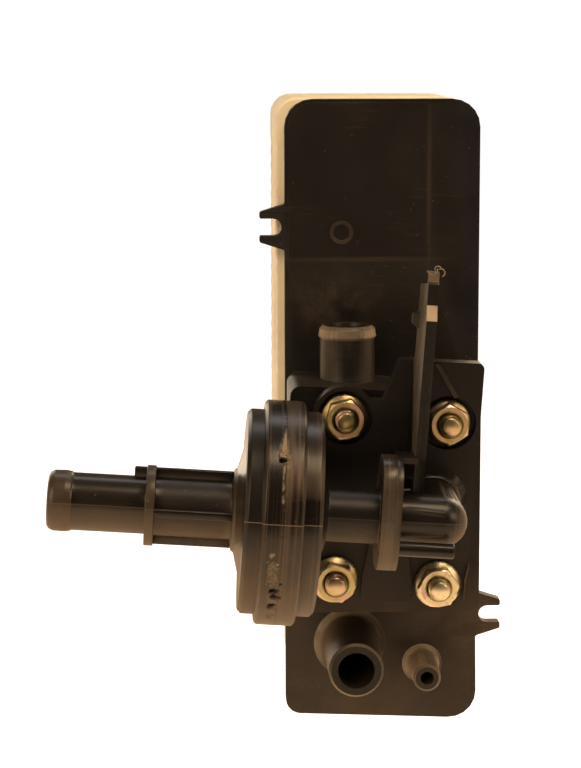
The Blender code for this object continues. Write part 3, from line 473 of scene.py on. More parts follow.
# Finishes
@dataclass(frozen=True)
class HousingPlastic:
    """Satin black plastic of the plate and the cover, paler towards its foot with dust film and a painted floor
    reflection.

    Attributes:
        dark: clean colour.
        film: colour of the dusty film, which also carries the painted floor reflection at the foot and the
            painted highlights along the pad's edges.
        dust: colour of settled dust, and of the painted light on the spigots, the blade's left face, the rib's
            edge and the pocket walls.
        film_top: heights between which the film thins out, in metres.
        foot_film_and_reflection: share of even film at the foot, dust together with a painted floor reflection.
        patches: share of patchy film all over, and what the foot adds.
        darkened: where the film over the level spigot is cut back as painted shade under the drum, less than 0.
        haze: where wiping left a haze over the outlet spigot.
        haze_cloud: pattern of the haze.
        haze_share: least and greatest share of the haze.
        smears: dust spilt on the right, and painted highlights along the edges of the plate's raised pad.
        root_highlights: painted highlights on the upper left of the spigots' flared roots.
        marks: share of film in scratches, in specks and on worn edges.
        edge_dust: share of settled dust on worn edges.
        uneven: least and greatest share of the settled dust that the grain lets show.
        rough: roughness where it is clean, and what film and grain add.
        specular: strength of its mirror image.
        relief: depth of scratches against the grain, share of the relief that shows, and its size in metres.
    """

    dark: Colour = (0.0034, 0.0031, 0.0030)
    film: Colour = (0.080, 0.058, 0.039)
    dust: Colour = (0.50, 0.40, 0.28)
    film_top: Point = (-0.066, -0.020)
    foot_film_and_reflection: float = 0.28
    patches: Point = (0.03, 0.46)
    darkened: Zone = Zone((-0.0091, -0.086, -0.0687), (0.022, 0.026, 0.022), -0.85)
    haze: Zone = Zone((-0.014, -0.060, 0.033), (0.019, 0.05, 0.013))
    haze_cloud: Cloud = Cloud(150.0, 0.36, 0.66, 5.0, 0.7)
    haze_share: Point = (0.02, 0.30)
    smears: tuple[Zone, ...] = (
        Zone((0.022, -0.060, -0.057), (0.030, 0.05, 0.018), 0.25),
        # painted highlights along the raised pad's right and lower edges
        Zone((0.0134, -0.0604, 0.0660), (0.0011, 0.010, 0.034), 0.20),
        Zone((-0.0068, -0.0604, 0.0446), (0.032, 0.010, 0.0011), 0.30),
    )
    root_highlights: tuple[Flare, ...] = (
        Flare((-0.0091, -0.060, -0.0687), (0.0078, 0.0104), 0.55),
        Flare((0.0123, -0.060, -0.0753), (0.0037, 0.0058), 1.0),
    )
    marks: Triple = (0.15, 0.5, 0.40)
    edge_dust: float = 0.12
    uneven: Point = (0.6, 1.15)
    rough: Triple = (0.38, 0.22, 0.08)
    specular: float = 0.28
    relief: Triple = (-0.6, 0.25, 0.00003)

    def build(self, effects: Effects) -> Material:
        """Builds the material.

        Args:
            effects: the shared effects.

        Returns:
            The material.
        """
        material, desk, shader = new_material("satin_black_plastic")
        place, scuffs, grain = effects.skin(desk, scratch_scale=1.0, fineness=2600.0)
        scratch, speck, edge = self.marks
        # paler towards the foot: dust film together with a painted reflection of the pale floor
        low = desk.span(desk.axis(place, "Z"), *self.film_top, 1.0, 0.0)
        patch = desk.raised(self.patches[0], low, self.patches[1])
        dusty = desk.raised(desk.times(low, self.foot_film_and_reflection), scuffs["Smudge"], patch)
        # painted shade: the film is cut back over the top of the level spigot, which lies in shade under the
        # drum
        dusty = desk.times(dusty, desk.raised(1.0, desk.zone(place, self.darkened), self.darkened.most))
        marks = desk.larger(desk.times(scuffs["Scratches"], scratch), desk.times(scuffs["Dust"], speck))
        cloud = desk.cloud(place, self.haze_cloud, *self.haze_share)
        share = desk.raised(desk.math("ADD", dusty, marks), desk.zone(place, self.haze), cloud)
        for smear in self.smears:
            share = desk.raised(share, desk.zone(place, smear), smear.most)
        wear = desk.attribute("wear")
        share = desk.math("ADD", share, desk.times(wear, edge), clamp=True)
        # settled dust, with painted light on the spigots, the blade, the rib and the pocket walls
        dust_and_painted_light = desk.raised(desk.attribute("dust"), wear, self.edge_dust)
        # painted highlights on the upper left of the spigots' flared roots
        for flare in self.root_highlights:
            dust_and_painted_light = desk.raised(dust_and_painted_light, desk.flare(place, flare), flare.most)
        settled = desk.math("MULTIPLY", dust_and_painted_light, desk.span(grain["Tone"], 0.0, 1.0, *self.uneven), clamp=True)
        clean, filmed, grainy = self.rough
        rough = desk.raised(clean, desk.larger(share, settled), filmed)
        scored, shown, depth = self.relief
        desk.feed(shader, {
            "Base Color": desk.mix(settled, desk.mix(share, self.dark, self.film), self.dust),
            "Roughness": desk.raised(rough, grain["Tone"], grainy),
            "Specular IOR Level": self.specular,
            "Normal": desk.bump(desk.raised(grain["Height"], scuffs["Scratches"], scored), shown, depth),
        })
        return material


@dataclass(frozen=True)
class GlossPlastic:
    """Glossier black plastic of the drum and its tubes, with streaks, a parting line and torn spots.

    Attributes:
        dark: clean colour.
        dusty: colour of dust and smudges, and of the painted floor reflection on the lower half and the painted
            rim light on the elbow.
        dust: colour of settled dust.
        torn: colour of torn plastic.
        pit_shade: colour of the painted shade in deep holes.
        line_width: half the parting line's width in metres.
        haze: share of dust in smudges.
        streaks: streak values at which dust starts and is full, and its share there.
        marks: share of dust in specks, in scratches and on worn edges.
        lower: least and greatest share of dust and painted floor reflection on the lower half.
        pale_line: share of torn colour on the parting line.
        settled: share of settled dust that shows.
        rough: roughness where it is clean, and what dust, satin and torn parts add.
        specular: strength of its mirror image.
        relief: height of grain, streaks and parting line.
        shown: share of the relief that shows, and its size in metres.
    """

    dark: Colour = (0.0050, 0.0039, 0.0032)
    dusty: Colour = (0.135, 0.096, 0.0615)
    dust: Colour = (0.34, 0.27, 0.19)
    torn: Colour = (0.24, 0.19, 0.135)
    pit_shade: Colour = (0.002, 0.0014, 0.001)
    line_width: float = 0.00017
    haze: float = 0.05
    streaks: Triple = (0.46, 0.64, 0.30)
    marks: Triple = (0.5, 0.08, 0.3)
    lower: Point = (0.85, 1.10)
    pale_line: float = 0.45
    settled: float = 0.25
    rough: tuple[float, float, float, float] = (0.27, 0.28, 0.2, 0.3)
    specular: float = 0.36
    relief: Triple = (0.35, 0.9, 1.6)
    shown: Point = (0.3, 0.00005)

    def build(self, effects: Effects) -> Material:
        """Builds the material.

        Args:
            effects: the shared effects.

        Returns:
            The material.
        """
        material, desk, shader = new_material("gloss_black_plastic")
        place, scuffs, grain = effects.skin(desk, scratch_scale=0.8, fineness=3200.0)
        flow = desk.place(effects.streaks, Vector=place, Line_Width=self.line_width)
        torn = desk.attribute("torn")
        first, full, most = self.streaks
        lines = desk.span(flow["Streaks"], first, full, 0.0, most)
        sources = (scuffs["Dust"], scuffs["Scratches"], desk.attribute("wear"))
        specks, scratches, worn = [desk.times(mask, most) for mask, most in zip(sources, self.marks)]
        marks = desk.larger(desk.larger(specks, scratches), worn)
        hazy = desk.math("ADD", desk.times(scuffs["Smudge"], self.haze), lines)
        share = desk.math("ADD", hazy, marks, clamp=True)
        # lower half: dust with a painted floor reflection
        share = desk.raised(share, flow["Lower"], desk.span(grain["Tone"], 0.0, 1.0, *self.lower))
        # film attribute: dust and smudges, and on the elbow a painted shade and rim light
        share = desk.math("ADD", share, desk.attribute("film"), clamp=True)
        skin = desk.mix(share, self.dark, self.dusty)
        for mask, colour in (
            (desk.times(flow["Parting"], self.pale_line), self.torn),
            (desk.times(desk.attribute("dust"), self.settled), self.dust),
            (torn, self.torn),
            # painted shade in the deep holes of the gouges
            (desk.attribute("pit_shade"), self.pit_shade),
        ):
            skin = desk.mix(mask, skin, colour)
        rough: Any = self.rough[0]
        for mask, most in zip((share, desk.attribute("satin"), torn), self.rough[1:]):
            rough = desk.raised(rough, mask, most)
        relief: Any = 0.0
        for mask, most in zip((grain["Height"], flow["Streaks"], flow["Parting"]), self.relief):
            relief = desk.raised(relief, mask, most)
        desk.feed(shader, {
            "Base Color": skin,
            "Roughness": rough,
            "Specular IOR Level": self.specular,
            "Normal": desk.bump(relief, *self.shown),
        })
        return material


@dataclass(frozen=True)
class CreamPlastic:
    """Aged cream plastic of the case, with faint dirt.

    Attributes:
        clean: colour of clean plastic.
        aged: colour where it has yellowed.
        dirt: colour of dirt.
        marks: share of dirt in smudges, scratches and specks.
        rough: roughness where it is clean, and what smudges add.
        specular: strength of its mirror image.
        relief: share of the grain that shows, and its size in metres.
    """

    clean: Colour = (0.81, 0.755, 0.575)
    aged: Colour = (0.75, 0.657, 0.46)
    dirt: Colour = (0.34, 0.25, 0.15)
    marks: Triple = (0.14, 0.16, 0.35)
    rough: Point = (0.42, 0.18)
    specular: float = 0.2
    relief: Point = (0.25, 0.00004)

    def build(self, effects: Effects) -> Material:
        """Builds the material.

        Args:
            effects: the shared effects.

        Returns:
            The material.
        """
        material, desk, shader = new_material("aged_cream_plastic")
        _, scuffs, grain = effects.skin(desk, scratch_scale=0.7, fineness=1800.0)
        sources = (scuffs["Smudge"], scuffs["Scratches"], scuffs["Dust"])
        grime, scratches, specks = [desk.times(mask, most) for mask, most in zip(sources, self.marks)]
        share = desk.math("ADD", grime, desk.larger(scratches, specks), clamp=True)
        tone = desk.mix(grain["Tone"], self.clean, self.aged)
        desk.feed(shader, {
            "Base Color": desk.mix(share, tone, self.dirt),
            "Roughness": desk.raised(self.rough[0], scuffs["Smudge"], self.rough[1]),
            "Specular IOR Level": self.specular,
            "Normal": desk.bump(grain["Height"], *self.relief),
        })
        return material


@dataclass(frozen=True)
class ZincPlate:
    """Yellow chromate zinc plating with pink and green bloom.

    Attributes:
        gold: main colour.
        rose: pink bloom.
        olive: green bloom.
        stain: dull stain.
        pale: lighter colour of the lower right nut.
        bright: where the nut is lighter.
        dull: where it is darker all over, on the upper left nut.
        rosy: pattern of the pink bloom.
        green: pattern of the green bloom.
        spots: pattern of the stains.
        spot_share: greatest share of the stains.
        speck_share: share of stain in specks.
        rough: roughness where it is clean, and what stains and scratches add.
        relief: share of the grain that shows, and its size in metres.
    """

    gold: Colour = (0.47, 0.39, 0.205)
    rose: Colour = (0.54, 0.38, 0.315)
    olive: Colour = (0.44, 0.455, 0.245)
    stain: Colour = (0.32, 0.25, 0.14)
    pale: Colour = (0.70, 0.625, 0.43)
    bright: Zone = Zone((0.0132, -0.095, -0.0430), (0.024, 0.05, 0.024))
    dull: Zone = Zone((-0.0128, -0.095, 0.0044), (0.024, 0.05, 0.024), 0.6)
    rosy: Cloud = Cloud(190.0, 0.50, 0.64, 2.0)
    green: Cloud = Cloud(240.0, 0.54, 0.68, 2.0, 0.7)
    spots: Cloud = Cloud(420.0, 0.54, 0.74, 4.0)
    spot_share: float = 0.55
    speck_share: float = 0.8
    rough: Triple = (0.36, 0.20, 0.15)
    relief: Point = (0.2, 0.00003)

    def build(self, effects: Effects) -> Material:
        """Builds the material.

        Args:
            effects: the shared effects.

        Returns:
            The material.
        """
        material, desk, shader = new_material("yellow_zinc_plate")
        place, scuffs, grain = effects.skin(desk, scratch_scale=1.6, fineness=5200.0)
        spots = desk.cloud(place, self.spots, 0.0, self.spot_share)
        stained = desk.larger(spots, desk.times(scuffs["Dust"], self.speck_share))
        skin: Any = self.gold
        for mask, colour in (
            (desk.zone(place, self.bright), self.pale),
            (desk.times(desk.zone(place, self.dull), self.dull.most), self.stain),
            (desk.cloud(place, self.rosy), self.rose),
            (desk.cloud(place, self.green), self.olive),
            (stained, self.stain),
        ):
            skin = desk.mix(mask, skin, colour)
        clean, dirty, scored = self.rough
        desk.feed(shader, {
            "Base Color": skin,
            "Metallic": 1.0,
            "Roughness": desk.raised(desk.raised(clean, stained, dirty), scuffs["Scratches"], scored),
            "Normal": desk.bump(grain["Height"], *self.relief),
        })
        return material


@dataclass(frozen=True)
class PlainFinish:
    """One-tone finish with grain, slow tone changes, smudges and scratches.

    Attributes:
        name: the material's name.
        light: lighter tone.
        deep: deeper tone.
        rough: least roughness.
        metallic: 1 for a metal.
        fineness: grain cells per metre.
        scratch: share of the deeper tone in scratches.
        smudge: what smudges add to the roughness.
        relief: share of the grain that shows, and its size in metres.
    """

    name: str
    light: Colour
    deep: Colour
    rough: float
    metallic: float = 0.0
    fineness: float = 2500.0
    scratch: float = 0.3
    smudge: float = 0.2
    relief: Point = (0.25, 0.00004)

    def build(self, effects: Effects) -> Material:
        """Builds the material.

        Args:
            effects: the shared effects.

        Returns:
            The material.
        """
        material, desk, shader = new_material(self.name)
        _, scuffs, grain = effects.skin(desk, scratch_scale=1.3, fineness=self.fineness)
        share = desk.raised(grain["Tone"], scuffs["Scratches"], self.scratch)
        desk.feed(shader, {
            "Base Color": desk.mix(share, self.light, self.deep),
            "Metallic": self.metallic,
            "Roughness": desk.raised(self.rough, scuffs["Smudge"], self.smudge),
            "Normal": desk.bump(grain["Height"], *self.relief),
        })
        return material


FINISHES: dict[Slot, Any] = {
    Slot.BLACK: HousingPlastic(),
    Slot.GLOSS: GlossPlastic(),
    Slot.CREAM: CreamPlastic(),
    Slot.ZINC: ZincPlate(),
    Slot.RUBBER: PlainFinish("black_rubber_seal", (0.022, 0.021, 0.020), (0.012, 0.011, 0.011), 0.58),
    Slot.STEEL: PlainFinish("brushed_stainless", (0.60, 0.59, 0.56), (0.42, 0.41, 0.39), 0.24, 1.0, 4200.0),
    Slot.ACETAL: PlainFinish("white_acetal_resin", (0.80, 0.78, 0.73), (0.70, 0.67, 0.60), 0.34),
    Slot.FLOAT: PlainFinish("float_cup_plastic", (0.72, 0.68, 0.58), (0.60, 0.55, 0.45), 0.46, 0.0, 1500.0),
}


# Mesh building
MERGE = 0.002 * MM  # corners of the CAD triangles closer than this are one
FLAT_ANGLE = 0.4  # degrees under which neighbouring CAD triangles make one face
EASED_ANGLE = 32.0  # degrees over which an edge is rounded
SMOOTH_ANGLE = 34.0  # degrees over which a rounded mesh still shows an edge
TURNED_ANGLE = 36.0  # the same for the drum's turned shells
STUD_ANGLE = 40.0  # for the threaded studs
WIRE_ANGLE = 50.0  # for wound wires
CRUMB_ANGLE = 30.0  # for crumbs
DUST_SLOPE = 0.3  # least upward part of a normal that holds dust
STRIP_DUST = 0.55  # share of dust on a rounded edge that looks up
FACE_DUST = 0.045  # share of dust on a face that looks up
BENDS = (0.02, 0.6)  # radians between neighbouring faces of one curved skin
CORNER = 0.2  # rounding of a turned profile's corners in millimetres
SEAM_CORNER = 0.06  # the same where two shells meet
CORNER_STEPS = 3
SIDE_SHARE = 0.45  # greatest share of a side that a rounding takes


def linked(name: str, mesh: Mesh) -> bpy.types.Object:
    """Puts a mesh in the scene as an object at the origin.

    Args:
        name: the object's name.
        mesh: the mesh.

    Returns:
        The object.
    """
    made = bpy.data.objects.new(name, mesh)
    bpy.context.scene.collection.objects.link(made)
    return made


def baked(holder: bpy.types.Object, name: str) -> Mesh:
    """Turns an object with modifiers into a plain mesh and removes it.

    Args:
        holder: the object.
        name: the new mesh's name.

    Returns:
        The plain mesh.
    """
    bpy.context.view_layer.update()
    graph = bpy.context.evaluated_depsgraph_get()
    mesh = bpy.data.meshes.new_from_object(holder.evaluated_get(graph))
    mesh.name = name
    bpy.data.objects.remove(holder)
    return mesh


def shaded(mesh: Mesh, sharp: float) -> Mesh:
    """Shades a mesh smooth.

    Args:
        mesh: the mesh.
        sharp: angle in degrees over which an edge stays sharp.

    Returns:
        The same mesh.
    """
    mesh.shade_smooth()
    mesh.set_sharp_from_angle(angle=radians(sharp))
    return mesh


def opened(*meshes: Mesh) -> BMesh:
    """Copies meshes into one editable mesh.

    Args:
        meshes: the meshes.

    Returns:
        The editable mesh.
    """
    work = bmesh.new()
    for mesh in meshes:
        work.from_mesh(mesh)
    return work


def closed(work: BMesh, name: str) -> Mesh:
    """Turns an editable mesh into a plain one.

    Args:
        work: the editable mesh, which is freed.
        name: the plain mesh's name.

    Returns:
        The plain mesh.
    """
    mesh = bpy.data.meshes.new(name)
    work.to_mesh(mesh)
    work.free()
    return mesh


def merged_copy(node: str) -> BMesh:
    """Copies a CAD node's triangles into one joined, simplified mesh.

    Args:
        node: the CAD node.

    Returns:
        The editable mesh in metres.
    """
    work = opened(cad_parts[node].data)
    bmesh.ops.remove_doubles(work, verts=work.verts, dist=MERGE)
    bmesh.ops.dissolve_limit(work, angle_limit=radians(FLAT_ANGLE), verts=work.verts, edges=work.edges)
    return work


def eased(work: BMesh, name: str, round_over: float) -> Mesh:
    """Rounds a mesh's edges and marks the rounded strips as worn.

    Args:
        work: the mesh, which is freed.
        name: the new mesh's name.
        round_over: width of the rounding in millimetres.

    Returns:
        The eased mesh with its wear and dust attributes.
    """
    mesh = closed(work, name)
    holder = linked("easing", mesh)
    for label in ("face_skin", "edge_skin"):
        mesh.materials.append(bpy.data.materials.get(label) or bpy.data.materials.new(label))
    for polygon in mesh.polygons:
        polygon.material_index = 0
    easing = holder.modifiers.new("easing", "BEVEL")
    easing.width = round_over * MM
    easing.segments = 2
    easing.limit_method = "ANGLE"
    easing.angle_limit = radians(EASED_ANGLE)
    easing.material = 1
    easing.use_clamp_overlap = True
    return marked(shaded(baked(holder, name), SMOOTH_ANGLE))


def marked(mesh: Mesh) -> Mesh:
    """Turns the easing's face marks into a wear attribute, dusts upward faces and keeps lone flat faces flat.

    Args:
        mesh: an eased mesh whose rounded strips have material index 1.

    Returns:
        The same mesh.
    """
    work = opened(mesh)
    wear = work.faces.layers.float.new("wear")
    dust = work.faces.layers.float.new("dust")
    flat = []
    for face in work.faces:
        strip = face.material_index == 1
        face[wear] = float(strip)
        face[dust] = max(0.0, face.normal.z - DUST_SLOPE) * (STRIP_DUST if strip else FACE_DUST)
        kin = [other for edge in face.edges for other in edge.link_faces if other.material_index == 0]
        angles = [face.normal.angle(other.normal, 0.0) for other in kin]
        if not strip and not any(BENDS[0] < angle < BENDS[1] for angle in angles):
            flat.append(face)
    for face in work.faces:
        face.material_index = 0
    for face in flat:
        face.smooth = False
    work.to_mesh(mesh)
    work.free()
    return mesh


def arc_corner(before: Point, corner: Point, after: Point, reach: float) -> list[Point]:
    """Rounds one corner of a profile.

    Args:
        before: the point before the corner.
        corner: the corner.
        after: the point after it.
        reach: how far along each side the rounding goes.

    Returns:
        Points of the rounding.
    """
    middle = Vector(corner)
    sides = [Vector(before) - middle, Vector(after) - middle]
    first, last = [middle + side.normalized() * min(reach, side.length * SIDE_SHARE) for side in sides]
    points = []
    for step in range(CORNER_STEPS + 1):
        t = step / CORNER_STEPS
        points.append(tuple(first * (1 - t) ** 2 + middle * 2 * t * (1 - t) + last * t ** 2))
    return points


def eased_loop(points: Sequence[Point], longest: float, seam: float) -> list[Point]:
    """Rounds every corner of a closed profile and splits its long sides.

    Args:
        points: the profile.
        longest: longest side that is left whole.
        seam: place along the profile where corners stay almost sharp.

    Returns:
        The finer profile.
    """
    rounded: list[Point] = []
    for index, corner in enumerate(points):
        after = points[(index + 1) % len(points)]
        rounded += arc_corner(points[index - 1], corner, after, SEAM_CORNER if corner[0] == seam else CORNER)
    finer: list[Point] = []
    for index, start in enumerate(rounded):
        end = rounded[(index + 1) % len(rounded)]
        pieces = max(1, int((Vector(end) - Vector(start)).length / longest))
        for step in range(pieces):
            t = step / pieces
            finer.append((start[0] + (end[0] - start[0]) * t, start[1] + (end[1] - start[1]) * t))
    return finer


class Skin(NamedTuple):
    """State of one point of a turned skin: inward depth in millimetres and shares of its marks."""

    depth: float = 0.0
    torn: float = 0.0
    pit_shade: float = 0.0
    film: float = 0.0
    satin: float = 0.0


Dent = Callable[[float, float, float], Skin]


def facet_angles(fine: float, coarse: float, front: float) -> list[float]:
    """Lists angles round an axis, closer together over the front.

    Args:
        fine: step over the front in degrees.
        coarse: step elsewhere in degrees.
        front: half the front's spread in degrees.

    Returns:
        The angles in radians.
    """
    near = round(2 * front / fine)
    far = round((360.0 - 2 * front) / coarse)
    angles = [-front + 2 * front * step / near for step in range(near)]
    angles += [front + (360.0 - 2 * front) * step / far for step in range(far)]
    return [radians(angle) for angle in angles]


def lathed(name: str, loop: Sequence[Point], place: Matrix, angles: Sequence[float], dent: Dent) -> Mesh:
    """Turns a closed profile of (along, radius) about the X axis.

    Args:
        name: the mesh's name.
        loop: the profile in millimetres.
        place: frame of the axis.
        angles: where the facets' edges lie round the axis, in radians.
        dent: gives the skin's state at (along, radius, angle).

    Returns:
        The closed mesh with the skin's shares as attributes.
    """
    work = bmesh.new()
    layers = [work.verts.layers.float.new(label) for label in Skin._fields[1:]]
    rings = []
    for along, radius in loop:
        ring = []
        for angle in angles:
            skin = dent(along, radius, angle)
            reach = radius - skin.depth
            spot = Vector((along, -reach * cos(angle), reach * sin(angle))) * MM
            vert = work.verts.new(place @ spot)
            for layer, share in zip(layers, skin[1:]):
                vert[layer] = share
            ring.append(vert)
        rings.append(ring)
    for index, ring in enumerate(rings):
        other = rings[(index + 1) % len(rings)]
        for step in range(len(angles)):
            following = (step + 1) % len(angles)
            work.faces.new((ring[step], ring[following], other[following], other[step]))
    bmesh.ops.recalc_face_normals(work, faces=work.faces)
    return closed(work, name)


def smooth_skin(along: float, radius: float, angle: float) -> Skin:
    """Leaves a turned piece without dents."""
    return Skin()


@dataclass(frozen=True)
class TubeDustAndLight:
    """Dust and painted light on a round part of a piece.

    Attributes:
        base: a point of its axis in millimetres.
        axis: its axis.
        ends: where the dust starts and ends along the axis.
        radii: least and greatest distance from the axis.
        share: share of dust.
        across: the way in which it is thickest on both sides, as painted light on flanks that face the lamps,
            or nothing for even dust.
        end_face: part of a normal along the axis over which a face is an end and holds no dust.
        thin: share of the dust that is even.
    """

    base: Triple
    axis: Triple
    ends: Point
    radii: Point
    share: float
    across: Triple = (0.0, 0.0, 0.0)
    end_face: float = 0.95
    thin: float = 0.1

    def at(self, spot: Vector, normal: Vector) -> float:
        """Gives the share of dust and painted light on a face.

        Args:
            spot: the face's middle in millimetres.
            normal: its normal.

        Returns:
            The share, 0 off the part.
        """
        way = Vector(spot) - Vector(self.base)
        along = way.dot(Vector(self.axis))
        away = (way - Vector(self.axis) * along).length
        inside = self.ends[0] < along < self.ends[1] and self.radii[0] < away < self.radii[1]
        if not inside or abs(normal.dot(Vector(self.axis))) > self.end_face:
            return 0.0
        bias = Vector(self.across)
        if bias.length == 0.0:
            return self.share
        return self.share * (self.thin + (1.0 - self.thin) * normal.dot(bias) ** 2)


@dataclass(frozen=True)
class BoxDustAndLight:
    """Dust and painted light on the faces of a piece that lie in a box and look one way.

    Attributes:
        low: lowest corner in millimetres.
        high: highest corner.
        facing: the way that the faces look.
        share: share of dust.
        least: least part of a face's normal along that way.
    """

    low: Triple
    high: Triple
    facing: Triple
    share: float
    least: float = 0.6

    def at(self, spot: Vector, normal: Vector) -> float:
        """Gives the share of dust and painted light on a face by its middle in millimetres and its normal."""
        inside = all(least < x < most for least, x, most in zip(self.low, spot, self.high))
        return self.share if inside and normal.dot(Vector(self.facing)) > self.least else 0.0


Dust = tuple[TubeDustAndLight | BoxDustAndLight, ...]
FLANGE_DUST: Dust = (BoxDustAndLight((-6.0, -12.0, -14.5), (0.0, 12.0, 17.5), FORWARD, 0.35),)


def dusted_and_lit(mesh: Mesh, place: Matrix, zones: Dust) -> Mesh:
    """Lays dust and painted light on zones of an eased mesh.

    Args:
        mesh: the mesh with its dust attribute.
        place: frame of the zones.
        zones: where the dust and the painted light lie.

    Returns:
        The same mesh.
    """
    back = place.inverted()
    for polygon, value in zip(mesh.polygons, mesh.attributes["dust"].data):
        spot = back @ polygon.center / MM
        normal = back.to_3x3() @ polygon.normal
        value.value = max([value.value] + [zone.at(spot, normal) for zone in zones])
    return mesh


def spread_over(mesh: Mesh, label: str, values: Sequence[float]) -> None:
    """Gives a mesh a point attribute."""
    mesh.attributes.new(label, "FLOAT", "POINT").data.foreach_set("value", values)


def rounded_block(low: Vector, high: Vector, round_over: float, place: Matrix) -> BMesh:
    """Makes a box with rounded edges.

    Args:
        low: lowest corner in millimetres.
        high: highest corner in millimetres.
        round_over: size of the rounding in millimetres.
        place: frame of the box.

    Returns:
        The box in metres.
    """
    work = bmesh.new()
    bmesh.ops.create_cube(work, size=1.0)
    size = high - low
    middle = (high + low) / 2
    for vert in work.verts:
        vert.co = Vector((vert.co.x * size.x, vert.co.y * size.y, vert.co.z * size.z)) + middle
    bmesh.ops.bevel(work, geom=list(work.edges), offset=round_over, segments=3, affect="EDGES", profile=0.5)
    bmesh.ops.transform(work, matrix=place @ Matrix.Scale(MM, 4), verts=work.verts)
    return work


def joined(name: str, meshes: Sequence[Mesh]) -> Mesh:
    """Puts several meshes into one, with their attributes.

    Args:
        name: the new mesh's name.
        meshes: the meshes, which are removed.

    Returns:
        The new mesh.
    """
    work = opened(*meshes)
    for mesh in meshes:
        bpy.data.meshes.remove(mesh)
    return closed(work, name)


@dataclass
class Bench:
    """Gives finished pieces the material of their slot and their body.

    Attributes:
        materials: the material of each slot.
        coil_tree: the tree that winds wires.
        crumb_tree: the tree that strews crumbs.
    """

    materials: dict[Slot, Material]
    coil_tree: "GrowTree"
    crumb_tree: "GrowTree"

    def lay(self, name: str, mesh: Mesh, slot: Slot, body: Body, *nodes: str) -> bpy.types.Object:
        """Finishes one piece.

        Args:
            name: the piece's name.
            mesh: its mesh in the row frame.
            slot: its material slot.
            body: the body it rides on.
            nodes: CAD nodes that it stands for.

        Returns:
            The piece.
        """
        mesh.materials.clear()
        mesh.materials.append(self.materials[slot])
        piece = linked(name, mesh)
        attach(piece, body.value)
        if nodes:
            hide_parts(*nodes)
        LOG.info("%s: %d faces on %s", name, len(mesh.polygons), body.value)
        return piece

    def ease(self, node: str, slot: Slot, body: Body, round_over: float) -> None:
        """Dresses a CAD node with a copy whose edges are rounded by a width in millimetres."""
        mesh = eased(merged_copy(node), node + "_eased", round_over)
        self.lay(node + "_skin", mesh, slot, body, node)


EasedPiece = tuple[str, Slot, Body, float]


# Geometry Nodes
@dataclass
class GrowTree:
    """A Geometry Nodes tree that puts copies of one shape on points and makes them real.

    Attributes:
        tree: the node tree.
        given: its input node.
    """

    tree: Tree
    given: Node

    @classmethod
    def start(cls, name: str, inputs: dict[str, str]) -> "GrowTree":
        """Starts a tree.

        Args:
            name: its name.
            inputs: kind of each input between the geometry and the material.

        Returns:
            The tree.
        """
        tree = bpy.data.node_groups.new(name, "GeometryNodeTree")
        for label, kind in {"Geometry": "Geometry", **inputs, "Material": "Material"}.items():
            tree.interface.new_socket(label, in_out="INPUT", socket_type="NodeSocket" + kind)
        tree.interface.new_socket("Geometry", in_out="OUTPUT", socket_type="NodeSocketGeometry")
        return cls(tree, tree.nodes.new("NodeGroupInput"))

    def node(self, kind: str, data_type: str = "", **sources: Any) -> Node:
        """Adds a node and feeds it.

        Args:
            kind: the node's type name.
            data_type: its data type, where it has one.
            sources: what feeds each input, with underscores for spaces: a socket, the name of one of the
                tree's inputs, or a constant.

        Returns:
            The new node.
        """
        made = self.tree.nodes.new(kind)
        if data_type:
            made.data_type = data_type
        for label, source in sources.items():
            socket = made.inputs[label.replace("_", " ")]
            if isinstance(source, str):
                source = self.given.outputs[source]
            if isinstance(source, Socket):
                self.tree.links.new(source, socket)
            else:
                socket.default_value = source
        return made

    def end(self, **spread: Any) -> "GrowTree":
        """Ends the tree: copies on points become real and get the material.

        Args:
            spread: what feeds the node that puts copies on points.

        Returns:
            The same tree.
        """
        copies = self.node("GeometryNodeInstanceOnPoints", **spread).outputs["Instances"]
        real = self.node("GeometryNodeRealizeInstances", Geometry=copies).outputs["Geometry"]
        paint = self.node("GeometryNodeSetMaterial", Geometry=real, Material="Material")
        self.node("NodeGroupOutput", Geometry=paint.outputs["Geometry"])
        return self

    def run(self, mesh: Mesh, values: dict[str, Any], name: str) -> Mesh:
        """Runs the tree on a mesh and keeps the result as a plain mesh.

        Args:
            mesh: its geometry input.
            values: its inputs by name.
            name: the new mesh's name.

        Returns:
            The plain mesh.
        """
        holder = linked("winding", mesh)
        modifier = holder.modifiers.new("tree", "NODES")
        modifier.node_group = self.tree
        for item in self.tree.interface.items_tree:
            if item.in_out == "INPUT" and item.name in values:
                modifier[item.identifier] = values[item.name]
        return baked(holder, name)


def wound_wire() -> GrowTree:
    """Builds a tree that winds a wire round each point of its input mesh, along the point's Z.

    Returns:
        The tree.
    """
    tree = GrowTree.start("wound_wire", {
        "Radius": "Float", "Wire": "Float", "Turns": "Float", "Length": "Float", "Turn": "Rotation",
        "Steps": "Int", "Sides": "Int",
    })
    spiral = tree.node(
        "GeometryNodeCurveSpiral", Start_Radius="Radius", End_Radius="Radius", Rotations="Turns",
        Height="Length", Resolution="Steps",
    )
    profile = tree.node("GeometryNodeCurvePrimitiveCircle", Radius="Wire", Resolution="Sides")
    tube = tree.node(
        "GeometryNodeCurveToMesh", Curve=spiral.outputs["Curve"], Profile_Curve=profile.outputs["Curve"],
        Fill_Caps=True,
    )
    return tree.end(Points="Geometry", Instance=tube.outputs["Mesh"], Rotation="Turn")


